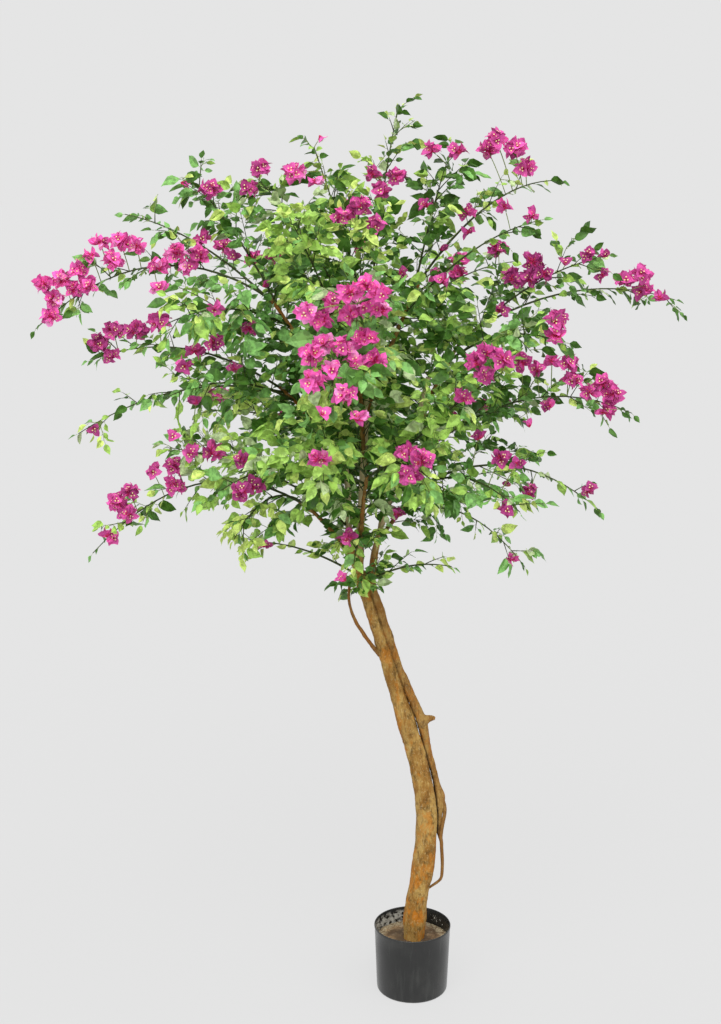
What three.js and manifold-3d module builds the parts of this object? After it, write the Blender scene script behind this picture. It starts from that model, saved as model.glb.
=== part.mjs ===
// An artificial bougainvillea tree in its nursery pot, in millimetres, +Z up.
//
// Two real wooden stems stand side by side in a pot filled with mortar. Above their fork they go on
// as three limbs, the limbs carry boughs, and each bough carries arching sprays of leaves with heads
// of papery bracts. The origin is the centre of the pot's flat underside, and -Y is the front.
//
// Every piece is a solid of its own. Wood is a cylinder bent along its centreline, a leaf or a bract
// is an octahedron pulled into a thin cupped blade, and manifold-3d joins a spray's pieces and cuts
// each joint to a clearance of GAP.

import * as THREE from "three";
import { mergeVertices } from "three/addons/utils/BufferGeometryUtils.js";
import Module from "manifold-3d";

const wasm = await Module();
wasm.setup();

// ---- Driving dimensions ----

const GAP = 0.3; // clearance between neighbouring pieces

const POT = { height: 143, rim: 79.5, foot: 73.5, wall: 2, floor: 3, edge: 6, sides: 40 };
const FILL = { level: 114, crumbs: 3 };

const CROWN_X = -100; // the crown's own axis stands this far from the pot's, towards the left

// Centreline points are [x, y, z]; a swelling is [height, growth of the radius, half-length].
const STEMS = {
  trunk: {
    line: [
      [2, 0, 100], [8, -2, 190], [20, -7, 270], [27, -9, 345], [25, -7, 420],
      [4, 2, 520], [-27, 9, 620], [-60, 9, 735], [-112, 0, 900],
    ],
    radii: [21.5, 12], steps: 16, sides: 12, taperFrom: 0.42, on: ["ground"],
    swellings: [[152, 2.5, 22], [280, 2, 40], [588, 3, 28], [735, 1.5, 25]],
  },
  second_stem: {
    line: [
      [50, -6, 350], [54, -6, 400], [51, -1, 432], [29, 9, 523], [14, 9, 590],
      [-21, 13, 672], [-53, 10, 765], [-90, 3, 885],
    ],
    radii: [4, 10], steps: 13, sides: 8, taperFrom: -0.3, on: ["trunk"],
    swellings: [[424, 4.5, 22], [588, 2.5, 16]],
  },
};
const STUB = { from: [14, 9, 583], to: [43, 6, 597], radius: 9 }; // where a branch was cut off the second stem
const VINES = {
  low_vine: {
    line: [[58, -6, 428], [64, -10, 404], [56, -9, 346], [58, -8, 328], [60, -8, 262], [57, -8, 248], [32, -6, 226]],
    radii: [4.5, 2.6], on: ["second_stem", "trunk"],
  },
  high_vine: {
    line: [[-70, 4, 728], [-97, -4, 768], [-122, -8, 812], [-131, -6, 850], [-128, 0, 892]],
    radii: [4.2, 3], on: ["trunk"],
  },
};
const LIMBS = {
  limb_middle: {
    line: [[-110, 0, 896], [-110, -2, 950], [-105, 2, 1070], [-97, 4, 1220], [-92, 0, 1420]],
    radii: [9, 4.5], on: ["trunk"],
  },
  limb_left: {
    line: [[-108, 2, 885], [-128, 2, 950], [-134, 0, 1080], [-150, -4, 1200], [-185, 0, 1345]],
    radii: [7.5, 4.2], on: ["trunk", "limb_middle"],
  },
  limb_right: {
    line: [[-89, 3, 881], [-80, 6, 940], [-62, 4, 1015], [-22, 0, 1118], [22, 0, 1290]],
    radii: [8, 4.2], on: ["second_stem", "trunk", "limb_middle"],
  },
};
const LIMB = { sides: 7, steps: 7 };

// A bough leaves its limb at a share of the limb's length and ends at a bearing and reach round the
// crown's axis, at a height. Its middle is lifted over the straight line.
const BOUGHS = {
  bough_left_high: { on: "limb_left", at: 0.8, bearing: 178, reach: 180, height: 1440, lift: 12 },
  bough_left_middle: { on: "limb_left", at: 0.55, bearing: 178, reach: 165, height: 1270, lift: 15 },
  bough_left_low: { on: "limb_left", at: 0.12, bearing: 190, reach: 130, height: 1050, lift: 15 },
  bough_right_high: { on: "limb_middle", at: 0.75, bearing: 8, reach: 110, height: 1480, lift: 12 },
  bough_right_middle: { on: "limb_right", at: 0.8, bearing: 4, reach: 195, height: 1370, lift: 20 },
  bough_right_low: { on: "limb_right", at: 0.3, bearing: 355, reach: 150, height: 1100, lift: 18 },
  bough_front_high: { on: "limb_middle", at: 0.6, bearing: 264, reach: 140, height: 1370, lift: 20 },
  bough_front_low: { on: "limb_middle", at: 0.25, bearing: 272, reach: 120, height: 1120, lift: 20 },
  bough_back_high: { on: "limb_middle", at: 0.55, bearing: 92, reach: 140, height: 1350, lift: 20 },
  bough_back_low: { on: "limb_middle", at: 0.2, bearing: 88, reach: 130, height: 1100, lift: 20 },
};
const BOUGH = { radii: [4.8, 3.2], sides: 5, steps: 4 };

// Sprays, by what carries them: [name, share of the carrier's length, bearing, reach and height of the
// tip, lift of the arch, heads of bracts as shares of the stem's length].
const SPRAYS = {
  bough_left_high: [
    ["left_far", 1, 184, 622, 1388, 90, [0.4, 0.65, 0.88]],
    ["left_crest", 0.9, 167, 480, 1595, 30, [0.8]],
    ["left_upper", 0.8, 173, 330, 1660, 20, [0.75]],
    ["left_inner", 0.7, 211, 410, 1415, 30, [0.8]],
  ],
  bough_left_middle: [
    ["left_flowering", 1, 174, 540, 1315, 50, [0.4, 0.68, 0.9]],
    ["left_slender", 0.9, 180, 556, 1180, 45, [0.92]],
    ["left_front", 0.78, 207, 400, 1280, 30, [0.6]],
  ],
  bough_left_low: [
    ["left_drooping", 1, 186, 530, 955, 85, [0.6, 0.85]],
    ["left_hanging", 0.85, 208, 280, 1000, 50, [0.65]],
  ],
  limb_left: [
    ["lower_left", 0.03, 167, 245, 950, 20, []],
    ["left_side", 0.34, 202, 365, 1170, 35, [0.8]],
  ],
  limb_middle: [
    ["crest_left", 0.97, 183, 95, 1720, 10, [0.8]],
    ["crest_far_left", 0.9, 168, 205, 1660, 30, [0.85]],
    ["crest_front", 0.86, 250, 130, 1610, 10, [0.85]],
    ["crest_tip", 1, 12, 62, 1784, 40, [0.55]],
  ],
  bough_right_high: [
    ["right_crest", 1, 9, 380, 1660, 50, [0.3, 0.7]],
    ["crest_right", 0.85, 347, 154, 1690, 15, [0.9]],
    ["right_upper", 0.7, 350, 330, 1590, 30, [0.6, 0.95]],
  ],
  bough_right_middle: [
    ["right_far", 1, 4, 600, 1435, 50, [0.4, 0.8]],
    ["right_high", 0.85, 350, 450, 1525, 30, [0.53, 0.9]],
    ["right_inner", 0.7, 326, 415, 1385, 30, [0.9]],
  ],
  limb_right: [
    ["right_flowering", 0.72, 353, 510, 1230, 80, [0.5, 0.72, 0.9]],
    ["lower_right", 0.02, 345, 175, 925, 15, []],
  ],
  bough_right_low: [
    ["right_slender", 1, 2, 462, 1025, 50, [0.9]],
    ["right_front", 0.85, 324, 350, 1070, 30, [0.85]],
    ["right_drooping", 0.3, 9, 326, 900, 60, [0.9]],
  ],
  bough_front_high: [
    ["front_high", 1, 268, 380, 1465, 20, [0.95]],
    ["front_middle", 0.9, 262, 410, 1330, 25, [0.55, 0.95]],
    ["front_top", 0.6, 238, 250, 1600, 15, []],
  ],
  bough_front_low: [
    ["front_low", 1, 253, 355, 1190, 30, [0.92]],
    ["front_right", 0.9, 291, 320, 1150, 30, [0.75]],
    ["front_left", 0.8, 226, 380, 1120, 45, [0.93]],
    ["front_side", 0.6, 312, 360, 1335, 20, [0.93]],
    ["front_foot", 0.12, 262, 150, 955, 15, [0.85]],
  ],
  bough_back_high: [
    ["back_left_high", 0.85, 132, 450, 1500, 40, [0.65]],
    ["back_high", 1, 92, 380, 1590, 40, [0.5, 0.85]],
    ["back_right_high", 0.8, 46, 450, 1490, 40, [0.65]],
    ["back_middle", 0.6, 98, 450, 1320, 50, [0.55, 0.88]],
  ],
  bough_back_low: [
    ["back_left_low", 0.85, 144, 430, 1180, 45, [0.88]],
    ["back_low", 1, 95, 410, 1070, 50, [0.85]],
    ["back_right_low", 0.8, 40, 430, 1170, 45, [0.88]],
  ],
};
const STEM = { radii: [3, 1.4], sides: 3, steps: 5, leafSpacing: 85 };
const TWIG = { spacing: 72, length: 130, shrink: 0.5, radius: 2, thickest: 0.25, lift: 0.25, leaves: [0.5, 0.9] };
const LEAF = { length: 76, width: 56, thickness: 1.6, cup: 8, droop: 6, shoulder: 0.42, last: 0.85, room: 12 };
const HEAD = { bracts: 5, reach: 48, notch: 0.6, cup: 8, crest: 20, root: 12, stalk: 26, room: 30 };
const CLEARANCE = 3.5; // between a leaf or twig and the next spray's space, or any wood

// ---- Small tools ----

const vector = (point) => new THREE.Vector3(...point);
const degrees = THREE.MathUtils.degToRad;
const mix = THREE.MathUtils.lerp;

// The same numbers in the same order for the same seed.
function seeded(seed) {
  let state = seed;
  return () => (state = (state * 48271) % 2147483647) / 2147483647;
}

function solidOf(geometry) {
  const bare = geometry.clone();
  bare.deleteAttribute("normal");
  bare.deleteAttribute("uv");
  const merged = mergeVertices(bare);
  return new wasm.Manifold(
    new wasm.Mesh({
      numProp: 3,
      vertProperties: merged.attributes.position.array,
      triVerts: new Uint32Array(merged.index.array),
    }),
  );
}

function geometryOf(solid) {
  const { vertProperties, triVerts, numProp, numVert } = solid.getMesh();
  const position = new Float32Array(numVert * 3);
  for (let i = 0; i < numVert; i++)
    position.set(vertProperties.subarray(i * numProp, i * numProp + 3), i * 3);
  const geometry = new THREE.BufferGeometry();
  geometry.setAttribute("position", new THREE.BufferAttribute(position, 3));
  geometry.setIndex(new THREE.BufferAttribute(triVerts, 1));
  geometry.computeVertexNormals();
  return geometry;
}

const largest = (solid) => solid.decompose().reduce((a, b) => (a.volume() > b.volume() ? a : b));

// A point at a bearing and reach round the crown's axis, at a height.
const around = ({ bearing, reach, height }) =>
  new THREE.Vector3(
    CROWN_X + reach * Math.cos(degrees(bearing)),
    reach * Math.sin(degrees(bearing)),
    height,
  );

function arch(from, to, lift) {
  const middle = from.clone().lerp(to, 0.5);
  middle.z += 2 * lift;
  return new THREE.QuadraticBezierCurve3(from, middle, to);
}

// A path's straight stretches, as the solid bent along it has them.
class Stretches extends THREE.Curve {
  constructor(path, count) {
    super();
    this.points = path.getPoints(count);
  }
  getPoint(share) {
    const count = this.points.length - 1;
    const first = Math.min(Math.floor(share * count), count - 1);
    return this.points[first].clone().lerp(this.points[first + 1], share * count - first);
  }
}

// The direction that a path's sections keep as their first axis.
function sideways(path) {
  const chord = path.getPoint(1).sub(path.getPoint(0)).normalize();
  const reference = Math.abs(chord.z) > 0.9 ? new THREE.Vector3(1, 0, 0) : new THREE.Vector3(0, 0, 1);
  return chord.cross(reference).normalize();
}

// A cylinder, or a cone where it is pointed, bent along a path with its own radius at each share.
function bent(path, radiusAt, { sides, steps, pointed = false }) {
  const geometry = pointed
    ? new THREE.ConeGeometry(1, 1, sides, steps)
    : new THREE.CylinderGeometry(1, 1, 1, sides, steps);
  const position = geometry.attributes.position;
  const side = sideways(path);
  for (let i = 0; i < position.count; i++) {
    const share = position.getY(i) + 0.5;
    const along = path.getTangent(share);
    const across = side.clone().addScaledVector(along, -side.dot(along)).normalize();
    const over = across.clone().cross(along);
    const [x, z] = [position.getX(i), position.getZ(i)];
    const radius = Math.hypot(x, z) < 1e-6 ? 0 : radiusAt(share) / Math.hypot(x, z);
    const point = path.getPoint(share).addScaledVector(across, x * radius).addScaledVector(over, z * radius);
    position.setXYZ(i, ...point);
  }
  return geometry;
}

// ---- Pot ----

function pot() {
  const { height, rim, foot, wall, floor, edge, sides } = POT;
  const profile = new THREE.Path();
  profile.moveTo(0, 0).lineTo(foot - edge, 0);
  profile.quadraticCurveTo(foot, 0, foot + 0.2, edge);
  profile.lineTo(rim, height).lineTo(rim - wall, height).lineTo(foot - wall, floor).lineTo(0, floor);
  return new THREE.LatheGeometry(profile.getPoints(3), sides).rotateX(Math.PI / 2);
}

function fill() {
  const { height, rim, foot, wall, floor, sides } = POT;
  const insideAt = (z) => mix(foot, rim, z / height) - wall - GAP;
  const profile = [
    [0, floor + GAP],
    [insideAt(floor) - GAP, floor + GAP],
    [insideAt(FILL.level - FILL.crumbs), FILL.level - FILL.crumbs],
    [insideAt(FILL.level) - 2 * FILL.crumbs, FILL.level],
    [0, FILL.level],
  ];
  return new THREE.LatheGeometry(profile.map((p) => new THREE.Vector2(...p)), sides).rotateX(Math.PI / 2);
}

// ---- Wood ----

// Every wooden piece made so far, by its path and its radius at each share.
const wood = new Map();

// What cuts a joint: the mortar or a wooden piece, grown by GAP. The ground is flat at the trunk's foot.
const ground = new THREE.CylinderGeometry(POT.foot, POT.foot, FILL.level, 8).rotateX(Math.PI / 2);
const cutters = new Map([["ground", solidOf(ground.translate(0, 0, FILL.level / 2 + GAP))]]);

function swollen(line, { radii, swellings = [], taperFrom = 0 }) {
  return (share) => {
    const taper = THREE.MathUtils.smoothstep(share, taperFrom, 1);
    const height = line.getPoint(share).z;
    const growth = swellings.reduce((sum, [at, most, half]) => sum + most * Math.exp(-(((height - at) / half) ** 2)), 0);
    return mix(radii[0], radii[1], taper) + growth;
  };
}

// Bends the wood along its path, cuts it back from what carries it, and remembers it as a carrier.
function grow(name, path, radiusAt, shape, carriers) {
  let solid = solidOf(bent(path, radiusAt, shape));
  for (const carrier of carriers) solid = solid.subtract(cutters.get(carrier));
  const margin = GAP / Math.cos(Math.PI / shape.sides);
  const tip = path.getPoint(1);
  const end = new THREE.LineCurve3(path.getPoint(0.99), tip.addScaledVector(path.getTangent(1), GAP));
  const thicker = solidOf(bent(path, (share) => radiusAt(share) + margin, shape));
  const cap = solidOf(bent(end, () => radiusAt(1) + 2 * margin, { sides: shape.sides, steps: 1 }));
  cutters.set(name, thicker.add(cap));
  wood.set(name, { path, radiusAt });
  return geometryOf(largest(solid));
}

const lineThrough = (points) => new THREE.CatmullRomCurve3(points.map(vector), false, "centripetal");

function woodenPieces() {
  const pieces = {};
  for (const [name, stem] of Object.entries(STEMS)) {
    const line = lineThrough(stem.line);
    pieces[name] = grow(name, line, swollen(line, stem), stem, stem.on);
  }
  const stub = new THREE.LineCurve3(vector(STUB.from), vector(STUB.to));
  const cut = solidOf(bent(stub, (share) => STUB.radius * (1 - 0.7 * share), { sides: 6, steps: 1 }));
  pieces.second_stem = geometryOf(solidOf(pieces.second_stem).add(cut.subtract(cutters.get("trunk"))));
  for (const [name, limb] of Object.entries({ ...VINES, ...LIMBS })) {
    const line = lineThrough(limb.line);
    pieces[name] = grow(name, line, swollen(line, limb), LIMB, limb.on);
  }
  for (const [name, bough] of Object.entries(BOUGHS)) {
    const line = arch(wood.get(bough.on).path.getPoint(bough.at), around(bough), bough.lift);
    pieces[name] = grow(name, line, (share) => mix(...BOUGH.radii, share), BOUGH, [bough.on]);
  }
  return pieces;
}

// ---- Sprays ----

function plannedSprays() {
  const planned = [];
  for (const [carrier, rows] of Object.entries(SPRAYS))
    for (const [name, at, bearing, reach, height, lift, heads] of rows) {
      const root = wood.get(carrier).path.getPoint(Math.min(at, 0.985));
      const stem = new Stretches(arch(root, around({ bearing, reach, height }), lift), STEM.steps);
      planned.push({ name, carrier, heads, stem, line: stem.getPoints(16), seed: 101 + 37 * planned.length });
    }
  return planned;
}

function distanceTo(line, point) {
  const nearest = new THREE.Vector3();
  let least = Infinity;
  for (let i = 1; i < line.length; i++) {
    new THREE.Line3(line[i - 1], line[i]).closestPointToPoint(point, true, nearest);
    least = Math.min(least, nearest.distanceTo(point));
  }
  return least;
}

// A point is in a spray's own space where its stem is nearer than every other spray's, and no wood is near.
function spaceOf(spray, planned) {
  const others = planned.filter((other) => other !== spray);
  return (point) => {
    const own = distanceTo(spray.line, point);
    if (others.some((other) => distanceTo(other.line, point) < own + CLEARANCE)) return false;
    return [...wood.values()].every(({ line, widest }) => distanceTo(line, point) > widest + CLEARANCE);
  };
}

// A twig in three sides that starts and ends in a point, thickest at TWIG.thickest of its length.
function spindle(path) {
  const { radius, thickest } = TWIG;
  const geometry = new THREE.SphereGeometry(1, 3, 2).rotateZ(-Math.PI / 2);
  const position = geometry.attributes.position;
  const side = sideways(path);
  const over = path.getTangent(0).cross(side);
  for (let i = 0; i < position.count; i++) {
    const [x, y, z] = [position.getX(i), position.getY(i), position.getZ(i)];
    const pole = Math.abs(x) > 0.5;
    const point = path.getPoint(pole ? (x + 1) / 2 : thickest);
    if (!pole) point.addScaledVector(side, y * radius).addScaledVector(over, z * radius);
    position.setXYZ(i, ...point);
  }
  return geometry;
}

// A thin cupped blade from its base at the origin along +X, with its upper side to +Z.
function blade({ length, width, thickness, cup, droop = 0, shoulder = 0.5 }) {
  const geometry = new THREE.OctahedronGeometry(1);
  const position = geometry.attributes.position;
  for (let i = 0; i < position.count; i++) {
    const [x, y, z] = [position.getX(i), position.getY(i), position.getZ(i)].map(Math.round);
    if (x) position.setXYZ(i, x > 0 ? length : 0, 0, x > 0 ? -droop : 0);
    if (y) position.setXYZ(i, shoulder * length, (y * width) / 2, cup);
    if (z) position.setXYZ(i, shoulder * length, 0, (z * thickness) / 2);
  }
  return geometry;
}

function placed(geometry, base, along, above) {
  const x = along.clone().normalize();
  const y = above.clone().cross(x).normalize();
  const turn = new THREE.Matrix4().makeBasis(x, y, x.clone().cross(y)).setPosition(base);
  return geometry.clone().applyMatrix4(turn);
}

// Side twigs leave the stem to its left and right in turn, shorter towards the tip and lifted a little.
function twigsOf({ stem, seed }) {
  const random = seeded(seed);
  const side = sideways(stem);
  const count = Math.round(stem.getLength() / TWIG.spacing);
  const twigs = [];
  for (let k = 0; k < count; k++) {
    const share = 0.12 + (0.78 * (k + 0.6 * random())) / count;
    const turn = Math.PI * k + mix(-1, 1, random());
    const spread = degrees(mix(38, 62, random()));
    const length = TWIG.length * (1 - TWIG.shrink * share) * mix(0.8, 1.15, random());
    const along = stem.getTangent(share);
    const over = side.clone().cross(along);
    const out = side.clone().multiplyScalar(Math.cos(turn)).addScaledVector(over, Math.sin(turn));
    const aim = along.multiplyScalar(Math.cos(spread)).addScaledVector(out, Math.sin(spread));
    aim.z += TWIG.lift;
    const root = stem.getPoint(share);
    twigs.push(new THREE.LineCurve3(root, root.clone().addScaledVector(aim.normalize(), length)));
  }
  return twigs;
}

// Leaves sit in turn on the two sides of a path and one ends it. They face up and out from the crown's axis.
function leavesAlong(path, shares, random) {
  const side = sideways(path);
  return shares.map((share, k) => {
    const along = path.getTangent(share);
    const out = share > LEAF.last ? 0 : (k % 2 ? 1 : -1) * mix(0.7, 1.2, random());
    const aim = along.clone().addScaledVector(side, out);
    aim.z += mix(-0.8, 0.1, random());
    const base = path.getPoint(share);
    const above = new THREE.Vector3(base.x - CROWN_X, base.y, 0).normalize();
    above.add(new THREE.Vector3(mix(-0.5, 0.5, random()), mix(-0.5, 0.5, random()), 0.6));
    return placed(blade(LEAF), base, aim, above);
  });
}

// A head of papery bracts, a pointed star centred on the origin and open to +Z: a ball of few faces.
function star({ bracts, reach, notch, cup, crest, root }) {
  const geometry = new THREE.SphereGeometry(1, 2 * bracts, 2);
  const position = geometry.attributes.position;
  for (let i = 0; i < position.count; i++) {
    const [x, y, z] = [position.getX(i), position.getY(i), position.getZ(i)];
    const corner = Math.round((Math.atan2(z, x) * bracts) / Math.PI);
    const share = corner % 2 ? notch : 1;
    if (Math.abs(y) > 0.5) position.setXYZ(i, 0, 0, y > 0 ? crest : -root);
    else position.setXYZ(i, x * reach * share, -z * reach * share, cup * share);
  }
  return geometry;
}

// A head stands on a short stalk that rises from the stem.
function headAt(path, share, random) {
  const root = path.getPoint(share);
  const aim = path.getTangent(share).multiplyScalar(0.4);
  aim.z += 1;
  aim.addScaledVector(sideways(path), mix(-0.6, 0.6, random())).normalize();
  const centre = root.clone().addScaledVector(aim, HEAD.stalk);
  const turn = new THREE.Vector3(Math.cos(6 * random()), Math.sin(6 * random()), 0.1);
  const bracts = placed(star(HEAD), centre, turn.cross(aim), aim);
  return { stalk: spindle(new THREE.LineCurve3(root, centre)), bracts, centre };
}

const pointsOf = ({ attributes: { position } }) =>
  Array.from({ length: position.count }, (_, i) => new THREE.Vector3().fromBufferAttribute(position, i));

function spraySolid(spray, planned) {
  const clear = spaceOf(spray, planned);
  const random = seeded(spray.seed + 7919);
  const pieces = [bent(spray.stem, (share) => mix(...STEM.radii, share), { ...STEM, pointed: true })];
  const taken = []; // the middles of the heads and leaves so far, each with the room it keeps
  const fits = (points, middle, room) =>
    points.every(clear) && taken.every((other) => other.middle.distanceTo(middle) > other.room + room);

  for (const share of spray.heads) {
    const { stalk, bracts, centre } = headAt(spray.stem, share, random);
    if (!fits(pointsOf(bracts), centre, HEAD.room)) continue;
    pieces.push(stalk, bracts);
    taken.push({ middle: centre, room: HEAD.room });
  }
  const count = Math.max(2, Math.round(spray.stem.getLength() / STEM.leafSpacing));
  const shares = Array.from({ length: count }, (_, k) => mix(0.25, 0.95, k / (count - 1)));
  const leaves = leavesAlong(spray.stem, shares, random);
  for (const twig of twigsOf(spray)) {
    if (!twig.getPoints(8).slice(1).every(clear)) continue;
    pieces.push(spindle(twig));
    leaves.push(...leavesAlong(twig, TWIG.leaves, random));
  }
  for (const leaf of leaves) {
    const points = pointsOf(leaf);
    const middle = points[0].clone().add(points[3]).divideScalar(2);
    if (!fits(points.slice(3), middle, LEAF.room)) continue;
    pieces.push(leaf);
    taken.push({ middle, room: LEAF.room });
  }
  const joined = pieces.map(solidOf).reduce((whole, piece) => whole.add(piece));
  return largest([...cutters.values()].reduce((rest, cutter) => rest.subtract(cutter), joined));
}

// ---- Assembly ----

const material = (color, roughness, metalness = 0) =>
  new THREE.MeshStandardMaterial({ color, roughness, metalness });
const FINISHES = {
  plastic: material(0x2b2c2b, 0.35),
  mortar: material(0x9b8a6a, 0.95),
  bark: material(0x9a7443, 0.8),
  foliage: material(0x4c8230, 0.6),
};

const tree = new THREE.Group();
tree.name = "bougainvillea_tree";

function add(name, geometry, finish) {
  const mesh = new THREE.Mesh(geometry, FINISHES[finish]);
  mesh.name = name;
  tree.add(mesh);
}

add("pot", pot(), "plastic");
add("pot_fill", fill(), "mortar");
for (const [name, geometry] of Object.entries(woodenPieces())) add(name, geometry, "bark");
for (const piece of wood.values()) {
  piece.line = piece.path.getPoints(20);
  piece.widest = Math.max(...piece.line.map((_, i) => piece.radiusAt(i / 20)));
}
const planned = plannedSprays();
for (const spray of planned) add(`spray_${spray.name}`, geometryOf(spraySolid(spray, planned)), "foliage");

export default tree;
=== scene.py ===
"""The looks of an artificial bougainvillea tree in its nursery pot, laid out as a Blender add-on.

Two real wooden stems carry limbs and boughs, and these carry arching sprays of fabric leaves with
heads of papery bracts. Everything is in metres, with the middle of the pot's underside at the origin,
+Z up and -Y at the front. The sprays follow the rule of the part's source, carried to finer twigs.
"""

import math
from collections import namedtuple
from functools import cache

import bmesh
import bpy
import numpy as np
from bpy.props import FloatProperty, FloatVectorProperty, IntProperty, PointerProperty
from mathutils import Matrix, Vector, noise


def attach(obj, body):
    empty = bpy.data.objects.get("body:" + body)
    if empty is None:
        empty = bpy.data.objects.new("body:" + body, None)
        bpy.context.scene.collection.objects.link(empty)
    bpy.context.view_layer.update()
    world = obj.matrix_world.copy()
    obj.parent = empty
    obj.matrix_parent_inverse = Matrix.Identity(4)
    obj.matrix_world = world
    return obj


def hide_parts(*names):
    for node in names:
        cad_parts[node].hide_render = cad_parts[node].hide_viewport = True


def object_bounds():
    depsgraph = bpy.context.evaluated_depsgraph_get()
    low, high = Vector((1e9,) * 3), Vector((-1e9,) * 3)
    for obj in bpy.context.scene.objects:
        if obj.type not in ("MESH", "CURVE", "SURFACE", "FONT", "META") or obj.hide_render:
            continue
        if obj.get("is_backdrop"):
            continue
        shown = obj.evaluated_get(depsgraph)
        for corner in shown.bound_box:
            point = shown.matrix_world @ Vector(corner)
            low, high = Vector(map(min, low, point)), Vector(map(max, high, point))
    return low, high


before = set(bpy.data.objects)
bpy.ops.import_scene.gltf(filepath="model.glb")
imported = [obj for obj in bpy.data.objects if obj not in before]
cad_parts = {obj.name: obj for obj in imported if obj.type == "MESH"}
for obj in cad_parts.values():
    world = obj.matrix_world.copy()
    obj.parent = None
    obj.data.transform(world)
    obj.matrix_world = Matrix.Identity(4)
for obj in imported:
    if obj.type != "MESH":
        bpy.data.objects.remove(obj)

bl_info = {
    "name": "Artificial bougainvillea tree",
    "version": (1, 0, 0),
    "blender": (4, 5, 0),
    "location": "3D View > Sidebar > Bougainvillea",
    "description": "Builds the pot, wood, leaves and blossom of an artificial bougainvillea tree",
    "category": "Object",
}

MM = 0.001
UP = Vector((0, 0, 1))

# ---- The tree's plan, in millimetres, as in the part's source ----

CROWN_X = -100  # the crown's own axis stands this far from the pot's
POT = {"height": 143, "rim": 79.5, "foot": 73.5, "wall": 2, "floor": 3, "edge": 6}
FILL_LEVEL = 114

# Centreline points are (x, y, z); a swelling is (height, growth of the radius, half-length).
STEMS = {
    "trunk": {
        "line": [
            (2, 0, 100), (8, -2, 190), (20, -7, 270), (27, -9, 345), (25, -7, 420),
            (4, 2, 520), (-27, 9, 620), (-60, 9, 735), (-112, 0, 900),
        ],
        "radii": (21.5, 12), "taper_from": 0.42,
        "swellings": [(152, 2.5, 22), (280, 2, 40), (588, 3, 28), (735, 1.5, 25)],
    },
    "second_stem": {
        "line": [
            (50, -6, 350), (54, -6, 400), (51, -1, 432), (29, 9, 523), (14, 9, 590),
            (-21, 13, 672), (-53, 10, 765), (-90, 3, 885),
        ],
        "radii": (4, 10), "taper_from": -0.3,
        "swellings": [(424, 4.5, 22), (588, 2.5, 16)],
    },
}
STUB = {"from": (14, 9, 583), "to": (43, 6, 597), "radius": 9}
VINES = {
    "low_vine": {
        "line": [
            (58, -6, 428), (64, -10, 404), (56, -9, 346), (58, -8, 328), (60, -8, 262),
            (57, -8, 248), (32, -6, 226),
        ],
        "radii": (4.5, 2.6),
    },
    "high_vine": {
        "line": [(-70, 4, 728), (-97, -4, 768), (-122, -8, 812), (-131, -6, 850), (-128, 0, 892)],
        "radii": (4.2, 3),
    },
}
LIMBS = {
    "limb_middle": {
        "line": [(-110, 0, 896), (-110, -2, 950), (-105, 2, 1070), (-97, 4, 1220), (-92, 0, 1420)],
        "radii": (9, 4.5),
    },
    "limb_left": {
        "line": [(-108, 2, 885), (-128, 2, 950), (-134, 0, 1080), (-150, -4, 1200), (-185, 0, 1345)],
        "radii": (7.5, 4.2),
    },
    "limb_right": {
        "line": [(-89, 3, 881), (-80, 6, 940), (-62, 4, 1015), (-22, 0, 1118), (22, 0, 1290)],
        "radii": (8, 4.2),
    },
}

# A bough is (limb, share of the limb's length, bearing and reach round the crown's axis, height, lift).
BOUGHS = {
    "bough_left_high": ("limb_left", 0.8, 178, 180, 1440, 12),
    "bough_left_middle": ("limb_left", 0.55, 178, 165, 1270, 15),
    "bough_left_low": ("limb_left", 0.12, 190, 130, 1050, 15),
    "bough_right_high": ("limb_middle", 0.75, 8, 110, 1480, 12),
    "bough_right_middle": ("limb_right", 0.8, 4, 195, 1370, 20),
    "bough_right_low": ("limb_right", 0.3, 355, 150, 1100, 18),
    "bough_front_high": ("limb_middle", 0.6, 264, 140, 1370, 20),
    "bough_front_low": ("limb_middle", 0.25, 272, 120, 1120, 20),
    "bough_back_high": ("limb_middle", 0.55, 92, 140, 1350, 20),
    "bough_back_low": ("limb_middle", 0.2, 88, 130, 1100, 20),
}
BOUGH_RADII = (4.8, 3.2)

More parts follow.
